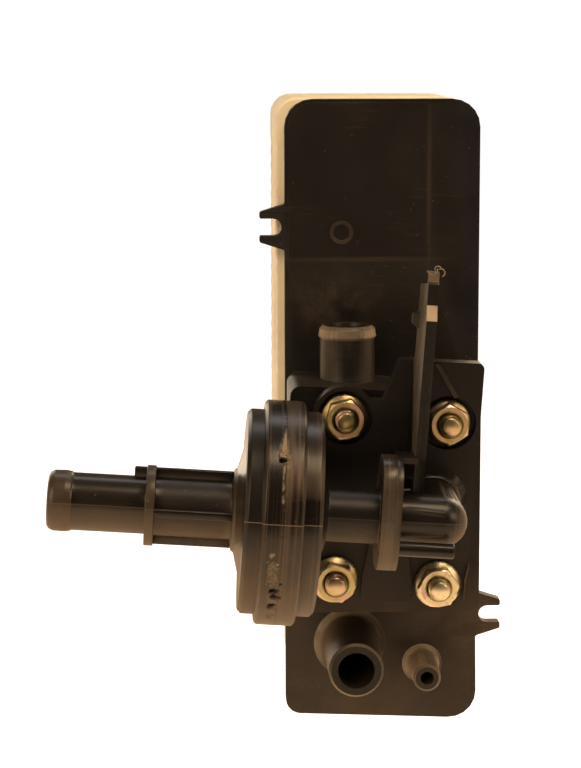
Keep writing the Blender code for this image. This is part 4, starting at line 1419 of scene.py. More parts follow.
def strewn_crumbs() -> GrowTree:
    """Builds a tree that strews small stones of mixed size over its input mesh.

    Returns:
        The tree.
    """
    least, most = 0.3, 1.5
    tree = GrowTree.start("strewn_crumbs", {"Density": "Float", "Size": "Float", "Seed": "Int"})
    strew = tree.node(
        "GeometryNodeDistributePointsOnFaces", Mesh="Geometry", Density="Density", Seed="Seed",
    )
    stone = tree.node("GeometryNodeMeshIcoSphere", Radius="Size")
    draw = "FunctionNodeRandomValue"
    sizes = tree.node(draw, "FLOAT_VECTOR", Min=(least,) * 3, Max=(most,) * 3, Seed="Seed")
    twists = tree.node(draw, "FLOAT_VECTOR", Max=(pi,) * 3, Seed="Seed")
    turn = tree.node("FunctionNodeEulerToRotation", Euler=twists.outputs["Value"])
    return tree.end(
        Points=strew.outputs["Points"], Instance=stone.outputs["Mesh"], Scale=sizes.outputs["Value"],
        Rotation=turn.outputs["Rotation"],
    )


def points_mesh(name: str, spots: Sequence[Vector]) -> Mesh:
    """Makes a mesh of loose points.

    Args:
        name: its name.
        spots: the points in metres.

    Returns:
        The mesh.
    """
    mesh = bpy.data.meshes.new(name)
    mesh.from_pydata([tuple(spot) for spot in spots], [], [])
    return mesh


# Sub-assemblies
OUTLET = ((-10.6, -70.0, 0.0), UPWARD)
LEVEL = ((-9.1, -60.0, -68.7), FORWARD)
VENT = ((12.3, -60.0, -75.3), FORWARD)
PLATE_RING = ((-11.7, -60.0, 52.4), FORWARD)


@dataclass
class SubAssembly:
    """Pieces that are built and dressed together.

    Attributes:
        bench: where pieces are finished.
    """

    bench: Bench

    def ease_all(self, pieces: Sequence[EasedPiece]) -> None:
        """Dresses pieces that only have their edges eased."""
        for piece in pieces:
            self.bench.ease(*piece)


@dataclass
class Shell(SubAssembly):
    """Front housing, rear case and the seal between them.

    Attributes:
        housing_ease: edge rounding of the housing in millimetres.
        dust: painted light on the spigots' bodies, flanks, lips and roots, and dust on the raised ring and pad
            of the housing.
        others: pieces with eased edges only.
    """

    housing_ease: float = 0.35
    dust: Dust = (
        # painted light on the outlet spigot's lip and sides, paler where light falls on them
        TubeDustAndLight(*OUTLET, (23.2, 27.2), (5.35, 8.6), 1.0, SIDEWAYS),
        TubeDustAndLight(*OUTLET, (23.2, 27.2), (5.35, 8.6), 0.22),
        TubeDustAndLight(*OUTLET, (11.0, 23.2), (7.0, 8.6), 0.1, SIDEWAYS),
        # painted light on the level spigot's flanks, upper left root and lower lip
        TubeDustAndLight(*LEVEL, (0.2, 29.5), (5.35, 11.0), 0.2, SIDEWAYS),
        TubeDustAndLight(*LEVEL, (-0.1, 6.0), (8.6, 12.0), 0.3, (-0.8, 0.0, 0.6)),
        TubeDustAndLight(*LEVEL, (29.4, 30.6), (7.0, 8.2), 0.8, (-0.3, 0.0, -0.95)),
        # painted light on the vent's body and its upper left flank
        TubeDustAndLight(*VENT, (0.2, 16.5), (2.05, 7.0), 0.3),
        TubeDustAndLight(*VENT, (-0.1, 15.0), (3.0, 8.0), 1.5, (-0.9, 0.0, 0.4)),
        TubeDustAndLight(*PLATE_RING, (0.3, 1.2), (2.2, 3.6), 0.10),
        BoxDustAndLight((-15.5, -61.0, 48.5), (-8.0, -60.6, 56.0), FORWARD, 0.05),
    )
    others: tuple[EasedPiece, ...] = (
        ("rear_case", Slot.CREAM, Body.HOUSING, 0.5), ("case_seal", Slot.RUBBER, Body.HOUSING, 0.3),
    )

    def build(self) -> None:
        """Builds and dresses the pieces."""
        mesh = eased(merged_copy("front_housing"), "front_housing_eased", self.housing_ease)
        dusted_and_lit(mesh, Matrix.Identity(4), self.dust)
        self.bench.lay("front_housing_skin", mesh, Slot.BLACK, Body.HOUSING, "front_housing")
        self.ease_all(self.others)


@dataclass
class Cover(SubAssembly):
    """Bolted inlet cover with its elbow and latch blade, and its gasket.

    Attributes:
        ease: edge rounding in millimetres.
        gasket_ease: edge rounding of the gasket.
        elbow_from: depth in front of the plate where the glossy elbow starts.
        elbow_v: lowest and highest part of the elbow up the cover.
        elbow_u: leftmost part of the elbow across the cover.
        web_u: sides of the blade across the cover.
        web_foot: height over which the blade is cut from the elbow.
        elbow_shade_and_rim: share of film on the elbow's left part, less than 0 as painted shade under the
            flange, and what its right side adds as a painted rim light.
        elbow_satin: share of satin on the elbow.
        boss: place of the dark screw boss before the plate and up the cover, and its radius.
        boss_left: left end of the boss across the cover.
        boss_under: least upward part of a normal on the dark boss.
        boss_film: share of film on the boss.
        dust: dust on the blade's shoulder, tip and front, and painted light on its left face, the rib's edge
            and the pockets' walls, in the cover's frame.
        threads: place, curl radius and turn of the torn threads on the blade's tip.
        thread_size: wire radius, turns and length of the threads.
        thread_torn: share of torn colour on the threads.
    """

    ease: float = 0.3
    gasket_ease: float = 0.2
    elbow_from: float = 37.0
    elbow_v: Point = (-15.0, 19.0)
    elbow_u: float = -3.5
    web_u: Point = (2.6, 6.8)
    web_foot: float = 8.6
    elbow_shade_and_rim: Point = (-0.25, 1.1)
    elbow_satin: float = 0.3
    boss: Triple = (70.0, -5.3, 2.3)
    boss_left: float = 0.5
    boss_under: float = -0.8
    boss_film: float = -1.0
    dust: Dust = (
        BoxDustAndLight((2.0, -62.5, 53.0), (8.5, -55.0, 58.6), (0.0, -0.85, 0.52), 0.62),
        BoxDustAndLight((2.0, -60.0, 63.4), (9.0, -55.0, 67.0), FORWARD, 0.22),
        # painted light on the blade's left face, which faces the lamps
        BoxDustAndLight((1.0, -62.0, 28.0), (6.0, -30.0, 67.0), LEFTWARD, 0.17),
        BoxDustAndLight((1.0, -46.0, 48.5), (4.8, -36.0, 55.0), FORWARD, 0.1),
        # painted highlight along the rib's edge
        BoxDustAndLight((9.0, -37.3, 29.5), (17.6, -36.2, 40.5), FORWARD, 0.06),
        # painted light on the nut pockets' left-facing walls, which lie in shade
        BoxDustAndLight((21.0, -45.0, -33.0), (24.6, -25.0, -9.0), LEFTWARD, 0.5),
        BoxDustAndLight((-7.6, -45.0, -33.0), (-4.0, -25.0, -9.0), LEFTWARD, 0.3),
    )
    threads: tuple[tuple[Triple, float, float], ...] = (
        ((5.0, -57.9, 67.0), 1.3, 0.4), ((7.3, -57.6, 66.4), 1.0, 2.2), ((6.4, -57.7, 67.3), 0.8, 4.0),
    )
    thread_size: Triple = (0.17, 0.55, 0.7)
    thread_torn: float = 0.8

    def torn_tip(self) -> None:
        """Curls torn threads on the blade's tip."""
        wire, turns, length = self.thread_size
        curls = []
        for spot, radius, angle in self.threads:
            turn = UNIT @ Matrix.Rotation(QUARTER, 4, "X") @ Matrix.Rotation(angle, 4, "Z")
            point = points_mesh("thread_point", [UNIT @ (Vector(spot) * MM)])
            curls.append(self.bench.coil_tree.run(point, {
                "Radius": radius * MM, "Wire": wire * MM, "Turns": turns, "Length": length * MM,
                "Turn": tuple(turn.to_euler()), "Steps": 40, "Sides": 6,
                "Material": self.bench.materials[Slot.GLOSS],
            }, "thread"))
        mesh = shaded(joined("blade_threads", curls), WIRE_ANGLE)
        spread_over(mesh, "torn", [self.thread_torn] * len(mesh.vertices))
        self.bench.lay("blade_threads", mesh, Slot.GLOSS, Body.HOUSING)

    def on_elbow(self, spot: Vector) -> bool:
        """Tells whether a point of the cover lies on the elbow or its flange.

        Args:
            spot: the point in the row frame, in metres.

        Returns:
            True on the elbow.
        """
        u, away, v = UNIT.inverted() @ spot / MM
        if -away < self.elbow_from or u < self.elbow_u or not self.elbow_v[0] < v < self.elbow_v[1]:
            return False
        return not (self.web_u[0] < u < self.web_u[1] and v > self.web_foot)

    def film(self, face: bmesh.types.BMFace) -> float:
        """Gives the film on a face of the elbow: painted shade on its left part and a painted rim light on its
        right side.

        Args:
            face: the face.

        Returns:
            The film's share, less than 0 on the painted shade and on the dark boss.
        """
        u, away, v = UNIT.inverted() @ face.calc_center_median() / MM
        off = (Vector((-away, v)) - Vector(self.boss[:2])).length
        if u > self.boss_left and off < self.boss[2] and face.normal.z > self.boss_under:
            return self.boss_film
        # painted shade on the elbow's left part, painted rim light where it faces right
        return self.elbow_shade_and_rim[0] + self.elbow_shade_and_rim[1] * max(0.0, face.normal.x) ** 2

    def half(self, mesh: Mesh, elbow: bool) -> Mesh:
        """Copies the elbow's faces or the others.

        Args:
            mesh: the whole cover.
            elbow: whether to keep the elbow.

        Returns:
            The kept faces.
        """
        work = opened(mesh)
        others = [face for face in work.faces if self.on_elbow(face.calc_center_median()) != elbow]
        bmesh.ops.delete(work, geom=others, context="FACES")
        film = work.faces.layers.float.new("film")
        satin = work.faces.layers.float.new("satin")
        for face in work.faces:
            face[film] = self.film(face)
            face[satin] = self.elbow_satin
        return closed(work, "cover_half")

    def build(self) -> None:
        """Builds and dresses the pieces."""
        whole = eased(merged_copy("inlet_cover"), "inlet_cover_eased", self.ease)
        dusted_and_lit(dusted_and_lit(whole, UNIT, self.dust), FLOW, FLANGE_DUST)
        plate, elbow = self.half(whole, False), self.half(whole, True)
        self.bench.lay("inlet_cover_plate", plate, Slot.BLACK, Body.HOUSING, "inlet_cover")
        self.bench.lay("inlet_cover_elbow", elbow, Slot.GLOSS, Body.HOUSING, "inlet_cover")
        self.bench.ease("cover_gasket", Slot.RUBBER, Body.HOUSING, self.gasket_ease)
        self.torn_tip()


@dataclass
class Fasteners(SubAssembly):
    """Threaded studs and flange nuts.

    Attributes:
        bolts: stud places across and up the cover, in millimetres.
        root: depth where the studs start.
        tip: depth of the stud tips.
        core: thread core radius.
        crest: thread crest radius.
        pitch: thread pitch.
        wire: radius of the wound thread's wire.
        run_in: depth of the thread's start past the root.
        short: how much shorter than the stud the thread is.
        dome: distance from the tip and radius of the tip's rounding.
        shoulder: distance from the tip where the full core starts.
        middle: least radius, which closes the core's end faces.
        facets: facet steps over the front and elsewhere, and half the front's spread, in degrees.
        nut_ease: edge rounding of the nuts.
    """

    bolts: tuple[Point, ...] = ((-14.1, 22.9), (14.5, 22.9), (-14.1, -22.9), (14.5, -22.9))
    root: float = 18.3
    tip: float = 42.5
    core: float = 2.66
    crest: float = 3.0
    pitch: float = 0.8
    wire: float = 0.22
    run_in: float = 0.3
    short: float = 1.2
    dome: tuple[Point, ...] = ((0.0, 2.1), (0.2, 2.35))
    shoulder: float = 0.6
    middle: float = 0.01
    facets: Triple = (12.0, 12.0, 90.0)
    nut_ease: float = 0.3

    def stud_core(self, bolt: Point) -> Mesh:
        """Turns one stud's core with a domed tip.

        Args:
            bolt: its place across and up the cover.

        Returns:
            The core's mesh.
        """
        spot = Vector((bolt[0], 0.0, bolt[1])) * MM
        place = UNIT @ Matrix.Translation(spot) @ Matrix.Rotation(-QUARTER, 4, "Z")
        loop = [(self.root, self.middle), (self.tip, self.middle)]
        loop += [(self.tip - back, radius) for back, radius in self.dome]
        loop += [(self.tip - self.shoulder, self.core), (self.root, self.core)]
        return lathed("stud_core", loop, place, facet_angles(*self.facets), smooth_skin)

    def build(self) -> None:
        """Builds and dresses the pieces."""
        length = self.tip - self.root - self.short
        spots = [UNIT @ (Vector((u, -self.root - self.run_in, v)) * MM) for u, v in self.bolts]
        turn = (UNIT @ Matrix.Rotation(QUARTER, 4, "X")).to_euler()
        threads = self.bench.coil_tree.run(points_mesh("stud_points", spots), {
            "Radius": (self.crest - self.wire) * MM, "Wire": self.wire * MM, "Turns": length / self.pitch,
            "Length": length * MM, "Turn": tuple(turn), "Steps": 20, "Sides": 5,
            "Material": self.bench.materials[Slot.ZINC],
        }, "stud_threads")
        cores = [self.stud_core(bolt) for bolt in self.bolts]
        mesh = shaded(joined("studs", cores + [threads]), STUD_ANGLE)
        numbers = range(1, len(self.bolts) + 1)
        studs = [f"stud_{number}" for number in numbers]
        self.bench.lay("studs_threaded", mesh, Slot.ZINC, Body.HOUSING, *studs)
        for number in numbers:
            self.bench.ease(f"flange_nut_{number}", Slot.ZINC, Body.HOUSING, self.nut_ease)


def between(value: float, low: float, high: float, soft: float) -> float:
    """Gives 1 between two limits and 0 outside them, with soft edges of a width inside the limits."""
    return max(0.0, min(1.0, (value - low) / soft, (high - value) / soft))


@dataclass(frozen=True)
class Gouge:
    """A torn spot on the drum's band.

    Attributes:
        angle: middle angle over the front, in degrees.
        spread: half its height in degrees.
        along: middle along the flow axis in millimetres.
        reach: half its width in millimetres.
        depth: depth in millimetres.
        torn: share of pale torn plastic.
        pit_shade: share of painted shade in it.
    """

    angle: float
    spread: float
    along: float
    reach: float
    depth: float
    torn: float = 0.0
    pit_shade: float = 0.0

    def share(self, along: float, angle: float) -> float:
        """Gives how deep a point lies in the gouge.

        Args:
            along: place along the axis in millimetres.
            angle: angle over the front in degrees.

        Returns:
            0 outside it and up to 1 in its middle.
        """
        up = (angle - self.angle) / self.spread
        if abs(up) > 1.0:
            return 0.0
        steepness = 2.2
        ragged = noise.noise(Vector((along * 0.9, angle * 0.5, self.angle)))
        across = (along - self.along - 0.4 * self.reach * ragged) / (self.reach * (1.0 + 0.45 * ragged))
        return max(0.0, min(1.0, (1.0 - up * up - across * across) * steepness))


@dataclass(frozen=True)
class Flap:
    """A three-cornered flap torn from the drum's band.

    Attributes:
        top: angle of its tip over the front, in degrees.
        foot: angle of its lower edge.
        tip: place of its tip along the flow axis in millimetres.
        left: left end of its lower edge.
        right: right end of its lower edge.
        depth: depth at its lower edge in millimetres.
        ragged: how far its sides wander.
        edge: width of its soft sides.
    """

    top: float = 61.0
    foot: float = 40.0
    tip: float = -31.8
    left: float = -33.8
    right: float = -31.2
    depth: float = 0.7
    ragged: float = 0.3
    edge: float = 0.3

    def share(self, along: float, angle: float) -> Point:
        """Gives the flap's marks at a point.

        Args:
            along: place along the axis in millimetres.
            angle: angle over the front in degrees.

        Returns:
            Torn share and depth in millimetres.
        """
        fall = (self.top - angle) / (self.top - self.foot)
        if not 0.0 < fall < 1.0:
            return 0.0, 0.0
        wander = self.ragged * noise.noise(Vector((0.0, angle * 0.6, 9.0)))
        start = self.tip + (self.left - self.tip) * fall + wander
        end = self.tip + (self.right - self.tip) * fall + 0.5 * wander
        torn = between(along, start, end, self.edge)
        return torn, torn * self.depth * fall


@dataclass
class Drum(SubAssembly):
    """Round in-line valve: two turned shells, ribs, flange and a scarred weld.

    Attributes:
        inlet_outer: outer profile of the inlet shell, (along, radius) in millimetres.
        inlet_inner: its inner profile.
        outlet_outer: outer profile of the outlet shell up to its flange.
        outlet_inner: its inner profile.
        facets: facet steps over the front and elsewhere, and half the front's spread, in degrees.
        longest: longest side of the inlet's and of the outlet's profile that is left whole.
        fine: length of the inlet band's pieces.
        band: radius over which the skin is the scarred band.
        bore: radius under which the skin is inside.
        lip: end of the barb's lip along the axis.
        collar: ends of the collar, and the radius over which it is dusty.
        hub: ends of the inlet hub.
        step: where the band starts.
        ledge: end of the satin side face.
        seam: where the shells meet.
        tube: start of the outlet tube.
        films: share of film on lip and collar, on the hub and on the outlet tube.
        bare: share of film on the side face's front, and its least angle, greatest angle and edges.
        side_films: even film left of the seam and right of it, and what the thinner front takes on the right.
        darkened: least angle, greatest angle and edges of the front part right of the seam where the film is
            thinner.
        smears: middle angle, spread and share of the smears left and right of the seam.
        satins: share of satin on the tubes and on the side face.
        weld: reach and height of the weld's bead.
        ribs: angle in degrees, start and end of each stiffening rib.
        rib_half: half the ribs' thickness.
        rib_radii: foot and top of the ribs.
        rib_round: edge rounding of the ribs.
        rib_film: share of dusty film on the ribs.
        flap: the torn flap over the parting line.
        gouges: torn spots on the band.
        crumbs: strewn zones of the band: ends along the axis and least and greatest angle in degrees.
        crumb_radius: radius on which the crumbs lie.
        flange_from: where the flange is cut from the outlet shell.
        flange_face: where the flange's face starts.
        flange_fill: how far the flange is drawn out to meet the elbow, in millimetres.
        flange_ease: edge rounding of the flange.
        others: pieces with eased edges only.
    """

    inlet_outer: tuple[Point, ...] = (
        (-92.6, 6.7), (-92.1, 7.5), (-91.0, 8.0), (-88.0, 8.1), (-86.6, 7.9), (-86.1, 7.6), (-67.0, 7.6),
        (-67.0, 10.6), (-64.6, 10.6), (-64.6, 7.8), (-44.6, 7.8), (-44.2, 10.6), (-43.4, 11.2), (-41.9, 17.0),
        (-41.6, 18.5), (-41.6, 26.0), (-40.6, 27.0), (-37.1, 27.0), (-37.1, 28.9), (-36.4, 29.6),
        (-31.68, 29.6),
    )
    inlet_inner: tuple[Point, ...] = (
        (-31.68, 24.0), (-38.6, 24.0), (-38.6, 9.6), (-36.4, 9.0), (-36.4, 6.4), (-37.6, 5.4), (-92.6, 5.2),
    )
    outlet_outer: tuple[Point, ...] = (
        (-31.65, 29.6), (-27.2, 29.6), (-26.5, 28.9), (-26.5, 27.0), (-22.6, 27.0), (-21.6, 26.0),
        (-21.6, 12.4), (-20.0, 9.8), (-19.2, 6.9), (-5.8, 6.9),
    )
    outlet_inner: tuple[Point, ...] = ((-5.8, 5.0), (-24.4, 5.0), (-24.4, 24.0), (-31.65, 24.0))
    facets: Triple = (0.6, 2.0, 72.0)
    longest: Point = (2.0, 0.6)
    fine: float = 0.25
    band: float = 28.5
    bore: float = 6.0
    lip: float = -86.2
    collar: Triple = (-67.2, -64.4, 8.2)
    hub: Point = (-45.0, -41.7)
    step: float = -37.1
    ledge: float = -37.0
    seam: float = -31.7
    tube: float = -21.7
    films: Triple = (0.22, 0.12, -0.25)
    bare: tuple[float, float, float, float] = (-0.3, -18.0, 88.0, 22.0)
    side_films: Triple = (-0.1, 0.06, -0.13)
    darkened: Triple = (-52.0, 40.0, 28.0)
    smears: tuple[Triple, Triple] = ((41.0, 7.0, 0.22), (32.0, 14.0, 0.45))
    satins: Point = (0.8, 0.3)
    weld: Point = (0.55, 0.3)
    ribs: tuple[Triple, ...] = (
        (90.0, -70.3, -43.5), (0.0, -65.1, -43.5), (-90.0, -65.1, -43.5), (180.0, -65.1, -43.5),
    )
    rib_half: float = 1.0
    rib_radii: Point = (6.6, 10.2)
    rib_round: float = 0.35
    rib_film: float = -0.7
    flap: Flap = Flap()
    gouges: tuple[Gouge, ...] = (
        Gouge(38.6, 2.0, -32.75, 0.95, 1.6, 0.0, 1.0), Gouge(37.5, 4.5, -31.1, 0.8, 0.12, 0.5),
        Gouge(33.6, 2.6, -32.15, 0.35, 0.25, 0.8), Gouge(29.6, 1.8, -32.25, 0.3, 0.2, 0.7),
        Gouge(24.5, 2.8, -32.2, 0.3, 0.2, 0.7), Gouge(18.0, 2.6, -32.15, 0.28, 0.2, 0.6),
        Gouge(-10.0, 1.6, -34.1, 0.8, 0.1, 0.9), Gouge(-21.0, 8.5, -33.8, 1.5, 0.35, 0.7),
        Gouge(-31.2, 2.2, -33.1, 1.2, 1.2, 0.0, 1.0), Gouge(-35.5, 2.2, -32.7, 1.3, 1.4, 0.0, 1.0),
        Gouge(-43.0, 2.4, -33.2, 1.2, 1.3, 0.0, 0.9), Gouge(-26.2, 1.0, -31.3, 0.45, 0.8, 0.0, 0.9),
        Gouge(-38.5, 7.5, -33.3, 1.3, 0.4, 0.5), Gouge(-51.0, 5.0, -33.4, 0.9, 0.4, 0.3),
    )
    crumbs: tuple[tuple[Point, Point], ...] = (
        ((-35.2, -32.4), (-28.0, -12.5)), ((-32.3, -30.5), (33.0, 41.0)),
    )
    crumb_radius: float = 29.5
    flange_from: float = -6.4
    flange_face: float = -2.4
    flange_fill: float = 0.28
    flange_ease: float = 0.12
    others: tuple[EasedPiece, ...] = (
        ("flange_o_ring", Slot.RUBBER, Body.HOUSING, 0.05),
        ("flange_screw_1", Slot.STEEL, Body.HOUSING, 0.15),
        ("flange_screw_2", Slot.STEEL, Body.HOUSING, 0.15),
    )

    def film(self, along: float, radius: float, turn: float) -> float:
        """Gives the dusty film on the barb's lip, the collar, the hub, the tube and the drum's sides.

        Args:
            along: place along the axis in millimetres.
            radius: distance from the axis in millimetres.
            turn: angle over the front in degrees.

        Returns:
            The film's share, less than 0 where it is thinned.
        """
        start, end, top = self.collar
        if radius < self.bore:
            return 0.0
        if along < self.lip or (start < along < end and radius > top):
            return self.films[0]
        if along < self.hub[1]:
            return self.films[1] if along > self.hub[0] else 0.0
        if along > self.tube:
            return self.films[2]
        if along < self.step:
            return self.bare[0] * between(turn, *self.bare[1:])
        left, right, less = self.side_films
        before = along < self.seam
        middle, spread, most = self.smears[0 if before else 1]
        base = left if before else right + less * between(turn, *self.darkened)
        smear = max(0.0, 1.0 - ((turn - middle) / spread) ** 2)
        grain = noise.noise(Vector((along * 3.1, turn * 0.05, 5.0)))
        return base + smear * most * (0.7 + 0.9 * grain)

    def scar(self, along: float, radius: float, angle: float) -> Skin:
        """Gives the film and the weld scars of the drum.

        Args:
            along: place along the axis in millimetres.
            radius: radius of the smooth skin in millimetres.
            angle: angle over the front in radians.

        Returns:
            The skin's state.
        """
        turn = degrees(atan2(sin(angle), cos(angle)))
        film = self.film(along, radius, turn)
        if radius < self.band:
            if along > self.tube or self.collar[1] < along < self.hub[0]:
                return Skin(film=film, satin=self.satins[0])
            return Skin(film=film, satin=self.satins[1] * float(self.hub[1] < along < self.ledge))
        torn, depth = self.flap.share(along, turn)
        # painted shade in the deep gouges
        pit_shade = 0.0
        for gouge in self.gouges:
            share = gouge.share(along, turn)
            torn = max(torn * (1.0 - share * gouge.pit_shade), gouge.torn * share)
            depth = max(depth, gouge.depth * share)
            pit_shade = max(pit_shade, gouge.pit_shade * share)
        crumb = noise.fractal(Vector((along * 2.6, turn * 1.1, 0.0)), 0.8, 2.0, 4)
        reach, height = self.weld
        lap = max(0.0, 1.0 - abs(along - self.flap.tip) / reach)
        weld = max(0.0, lap * height * noise.noise(Vector((0.0, turn * 0.5, 3.0))))
        depth = depth * (0.8 + 0.4 * crumb) + weld
        return Skin(depth, min(1.0, torn * (0.8 + 0.5 * crumb) + weld), pit_shade, film)

    def band_patch(self, ends: Point, angles: Point) -> Mesh:
        """Makes a piece of the band's skin for crumbs to lie on.

        Args:
            ends: its ends along the axis in millimetres.
            angles: its least and greatest angle over the front in degrees.

        Returns:
            The open mesh.
        """
        steps = 12
        radius = self.crumb_radius
        spots = []
        for step in range(steps + 1):
            angle = radians(angles[0] + (angles[1] - angles[0]) * step / steps)
            for along in ends:
                spot = Vector((along, -radius * cos(angle), radius * sin(angle)))
                spots.append(tuple(FLOW @ (spot * MM)))
        faces = [(2 * step, 2 * step + 1, 2 * step + 3, 2 * step + 2) for step in range(steps)]
        mesh = bpy.data.meshes.new("band_patch")
        mesh.from_pydata(spots, [], faces)
        return mesh

    def strew(self) -> None:
        """Strews torn crumbs over the scars."""
        mottle = 1500.0
        patches = joined("band_patches", [self.band_patch(ends, angles) for ends, angles in self.crumbs])
        mesh = self.bench.crumb_tree.run(patches, {
            "Density": 1.1e6, "Size": 0.30 * MM, "Seed": 7, "Material": self.bench.materials[Slot.GLOSS],
        }, "drum_crumbs")
        shares = [0.4 + 0.9 * abs(noise.noise(vert.co * mottle)) for vert in mesh.vertices]
        spread_over(mesh, "torn", shares)
        self.bench.lay("drum_crumbs", shaded(mesh, CRUMB_ANGLE), Slot.GLOSS, Body.HOUSING)

    def rib(self, angle: float, start: float, end: float) -> Mesh:
        """Makes one stiffening rib.

        Args:
            angle: its angle in degrees.
            start: its start along the axis in millimetres.
            end: its end along the axis.

        Returns:
            The rib with its film.
        """
        place = FLOW @ Matrix.Rotation(radians(angle - 90.0), 4, "X")
        low = Vector((start, -self.rib_half, self.rib_radii[0]))
        high = Vector((end, self.rib_half, self.rib_radii[1]))
        rib = closed(rounded_block(low, high, self.rib_round, place), "rib")
        spread_over(rib, "film", [self.rib_film] * len(rib.vertices))
        return rib

    def inlet(self) -> None:
        """Builds the inlet shell with its collar, ribs and barb."""
        loop = eased_loop(self.inlet_outer + self.inlet_inner, self.longest[0], self.inlet_outer[-1][0])
        finer: list[Point] = []
        for index, start in enumerate(loop):
            end = loop[(index + 1) % len(loop)]
            finer.append(start)
            length = end[0] - start[0]
            if min(start[1], end[1]) > self.band:
                pieces = int(abs(length) / self.fine)
                finer += [(start[0] + length * step / pieces, start[1]) for step in range(1, pieces)]
        meshes = [lathed("inlet_turned", finer, FLOW, facet_angles(*self.facets), self.scar)]
        meshes += [self.rib(*rib) for rib in self.ribs]
        mesh = shaded(joined("inlet_shell_turned", meshes), TURNED_ANGLE)
        self.bench.lay("inlet_shell_scarred", mesh, Slot.GLOSS, Body.HOUSING, "inlet_shell")

    def outlet(self) -> None:
        """Builds the outlet shell with its tube and flange."""
        loop = eased_loop(self.outlet_outer + self.outlet_inner, self.longest[1], self.outlet_outer[0][0])
        turned = lathed("outlet_turned", loop, FLOW, facet_angles(*self.facets), self.scar)
        work = merged_copy("outlet_shell")
        edge = FLOW @ Vector((self.flange_from * MM, 0.0, 0.0))
        geometry = list(work.verts) + list(work.edges) + list(work.faces)
        bmesh.ops.bisect_plane(work, geom=geometry, plane_co=edge, plane_no=FLOW_AXIS, clear_inner=True)
        for vert in work.verts:
            if (FLOW.inverted() @ vert.co).x > self.flange_face * MM:
                vert.co += FLOW_AXIS * self.flange_fill * MM
        flange = dusted_and_lit(eased(work, "flange_plate", self.flange_ease), FLOW, FLANGE_DUST)
        mesh = joined("outlet_shell_turned", [shaded(turned, TURNED_ANGLE), flange])
        self.bench.lay("outlet_shell_scarred", mesh, Slot.GLOSS, Body.HOUSING, "outlet_shell")

    def build(self) -> None:
        """Builds and dresses the pieces."""
        self.inlet()
        self.outlet()
        self.strew()
        self.ease_all(self.others)


@dataclass
class CheckValve(SubAssembly):
    """Spring-loaded poppet inside the drum.

    Attributes:
        spring_start: poppet end of the spring along the flow axis, in millimetres.
        spring_end: guide end of the spring.
        radius: coil radius.
        wire: wire radius.
        turns: turns of the coil.
        travel: poppet travel, not used.
        others: pieces with eased edges only.
    """

    spring_start: float = -32.7
    spring_end: float = -27.8
    radius: float = 2.5
    wire: float = 0.35
    turns: float = 2.5
    travel: float = 2.0
    others: tuple[EasedPiece, ...] = (
        ("spring_guide", Slot.ACETAL, Body.HOUSING, 0.2),
        ("check_poppet", Slot.ACETAL, Body.POPPET, 0.2),
        ("poppet_seal", Slot.RUBBER, Body.POPPET, 0.1),
    )

    def build(self) -> None:
        """Builds and dresses the pieces."""
        length = self.spring_end - self.spring_start
        start = FLOW @ Vector(((self.spring_start + self.wire) * MM, 0.0, 0.0))
        turn = (FLOW @ Matrix.Rotation(QUARTER, 4, "Y")).to_euler()
        mesh = self.bench.coil_tree.run(points_mesh("spring_point", [start]), {
            "Radius": self.radius * MM, "Wire": self.wire * MM, "Turns": self.turns,
            "Length": (length - 2 * self.wire) * MM, "Turn": tuple(turn), "Steps": 32, "Sides": 12,
            "Material": self.bench.materials[Slot.STEEL],
        }, "check_spring_wound")
        shaded(mesh, WIRE_ANGLE)
        spring = self.bench.lay("check_spring_coil", mesh, Slot.STEEL, Body.HOUSING, "check_spring")
        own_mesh(spring)
        self.ease_all(self.others)


@dataclass
class FloatGear(SubAssembly):
    """Stem, washer, cross pin and float inside the case.

    Attributes:
        pieces: the pieces, with eased edges.
    """

    pieces: tuple[EasedPiece, ...] = (
        ("valve_stem", Slot.ACETAL, Body.STEM, 0.2),
        ("valve_washer", Slot.RUBBER, Body.STEM, 0.2),
        ("washer_screw", Slot.STEEL, Body.STEM, 0.15),
        ("cross_pin", Slot.STEEL, Body.STEM, 0.1),
        ("stem_o_ring", Slot.RUBBER, Body.HOUSING, 0.05),
        ("pivot_pin", Slot.STEEL, Body.HOUSING, 0.15),
        ("float_arm", Slot.ACETAL, Body.FLOAT, 0.2),
        ("float_body", Slot.FLOAT, Body.FLOAT, 0.4),
    )

    def build(self) -> None:
        """Builds and dresses the pieces."""
        self.ease_all(self.pieces)


# Stage
WARM = (1.0, 0.73, 0.48)
RIM = (1.0, 0.84, 0.64)


@dataclass(frozen=True)
class SoftBox:
    """One rectangular studio lamp.

    Attributes:
        name: its name.
        spot: its place in metres.
        aim: what it points at.
        size: its width and height in metres.
        power: its power in watts.
        colour: its colour.
        shine: whether gloss shows it.
        fills: whether it lights matt surfaces.
    """

    name: str
    spot: Triple
    aim: Triple
    size: Point
    power: float
    colour: Colour = WARM
    shine: bool = True
    fills: bool = True

    def build(self) -> None:
        """Adds the lamp."""
        lamp = bpy.data.lights.new(self.name, "AREA")
        lamp.shape = "RECTANGLE"
        lamp.size, lamp.size_y = self.size
        lamp.energy = self.power
        lamp.color = self.colour
        holder = bpy.data.objects.new(self.name, lamp)
        bpy.context.scene.collection.objects.link(holder)
        holder.visible_glossy = self.shine
        holder.visible_diffuse = self.fills
        turn = (Vector(self.aim) - Vector(self.spot)).to_track_quat("-Z", "Y")
        holder.matrix_world = Matrix.Translation(self.spot) @ turn.to_matrix().to_4x4()


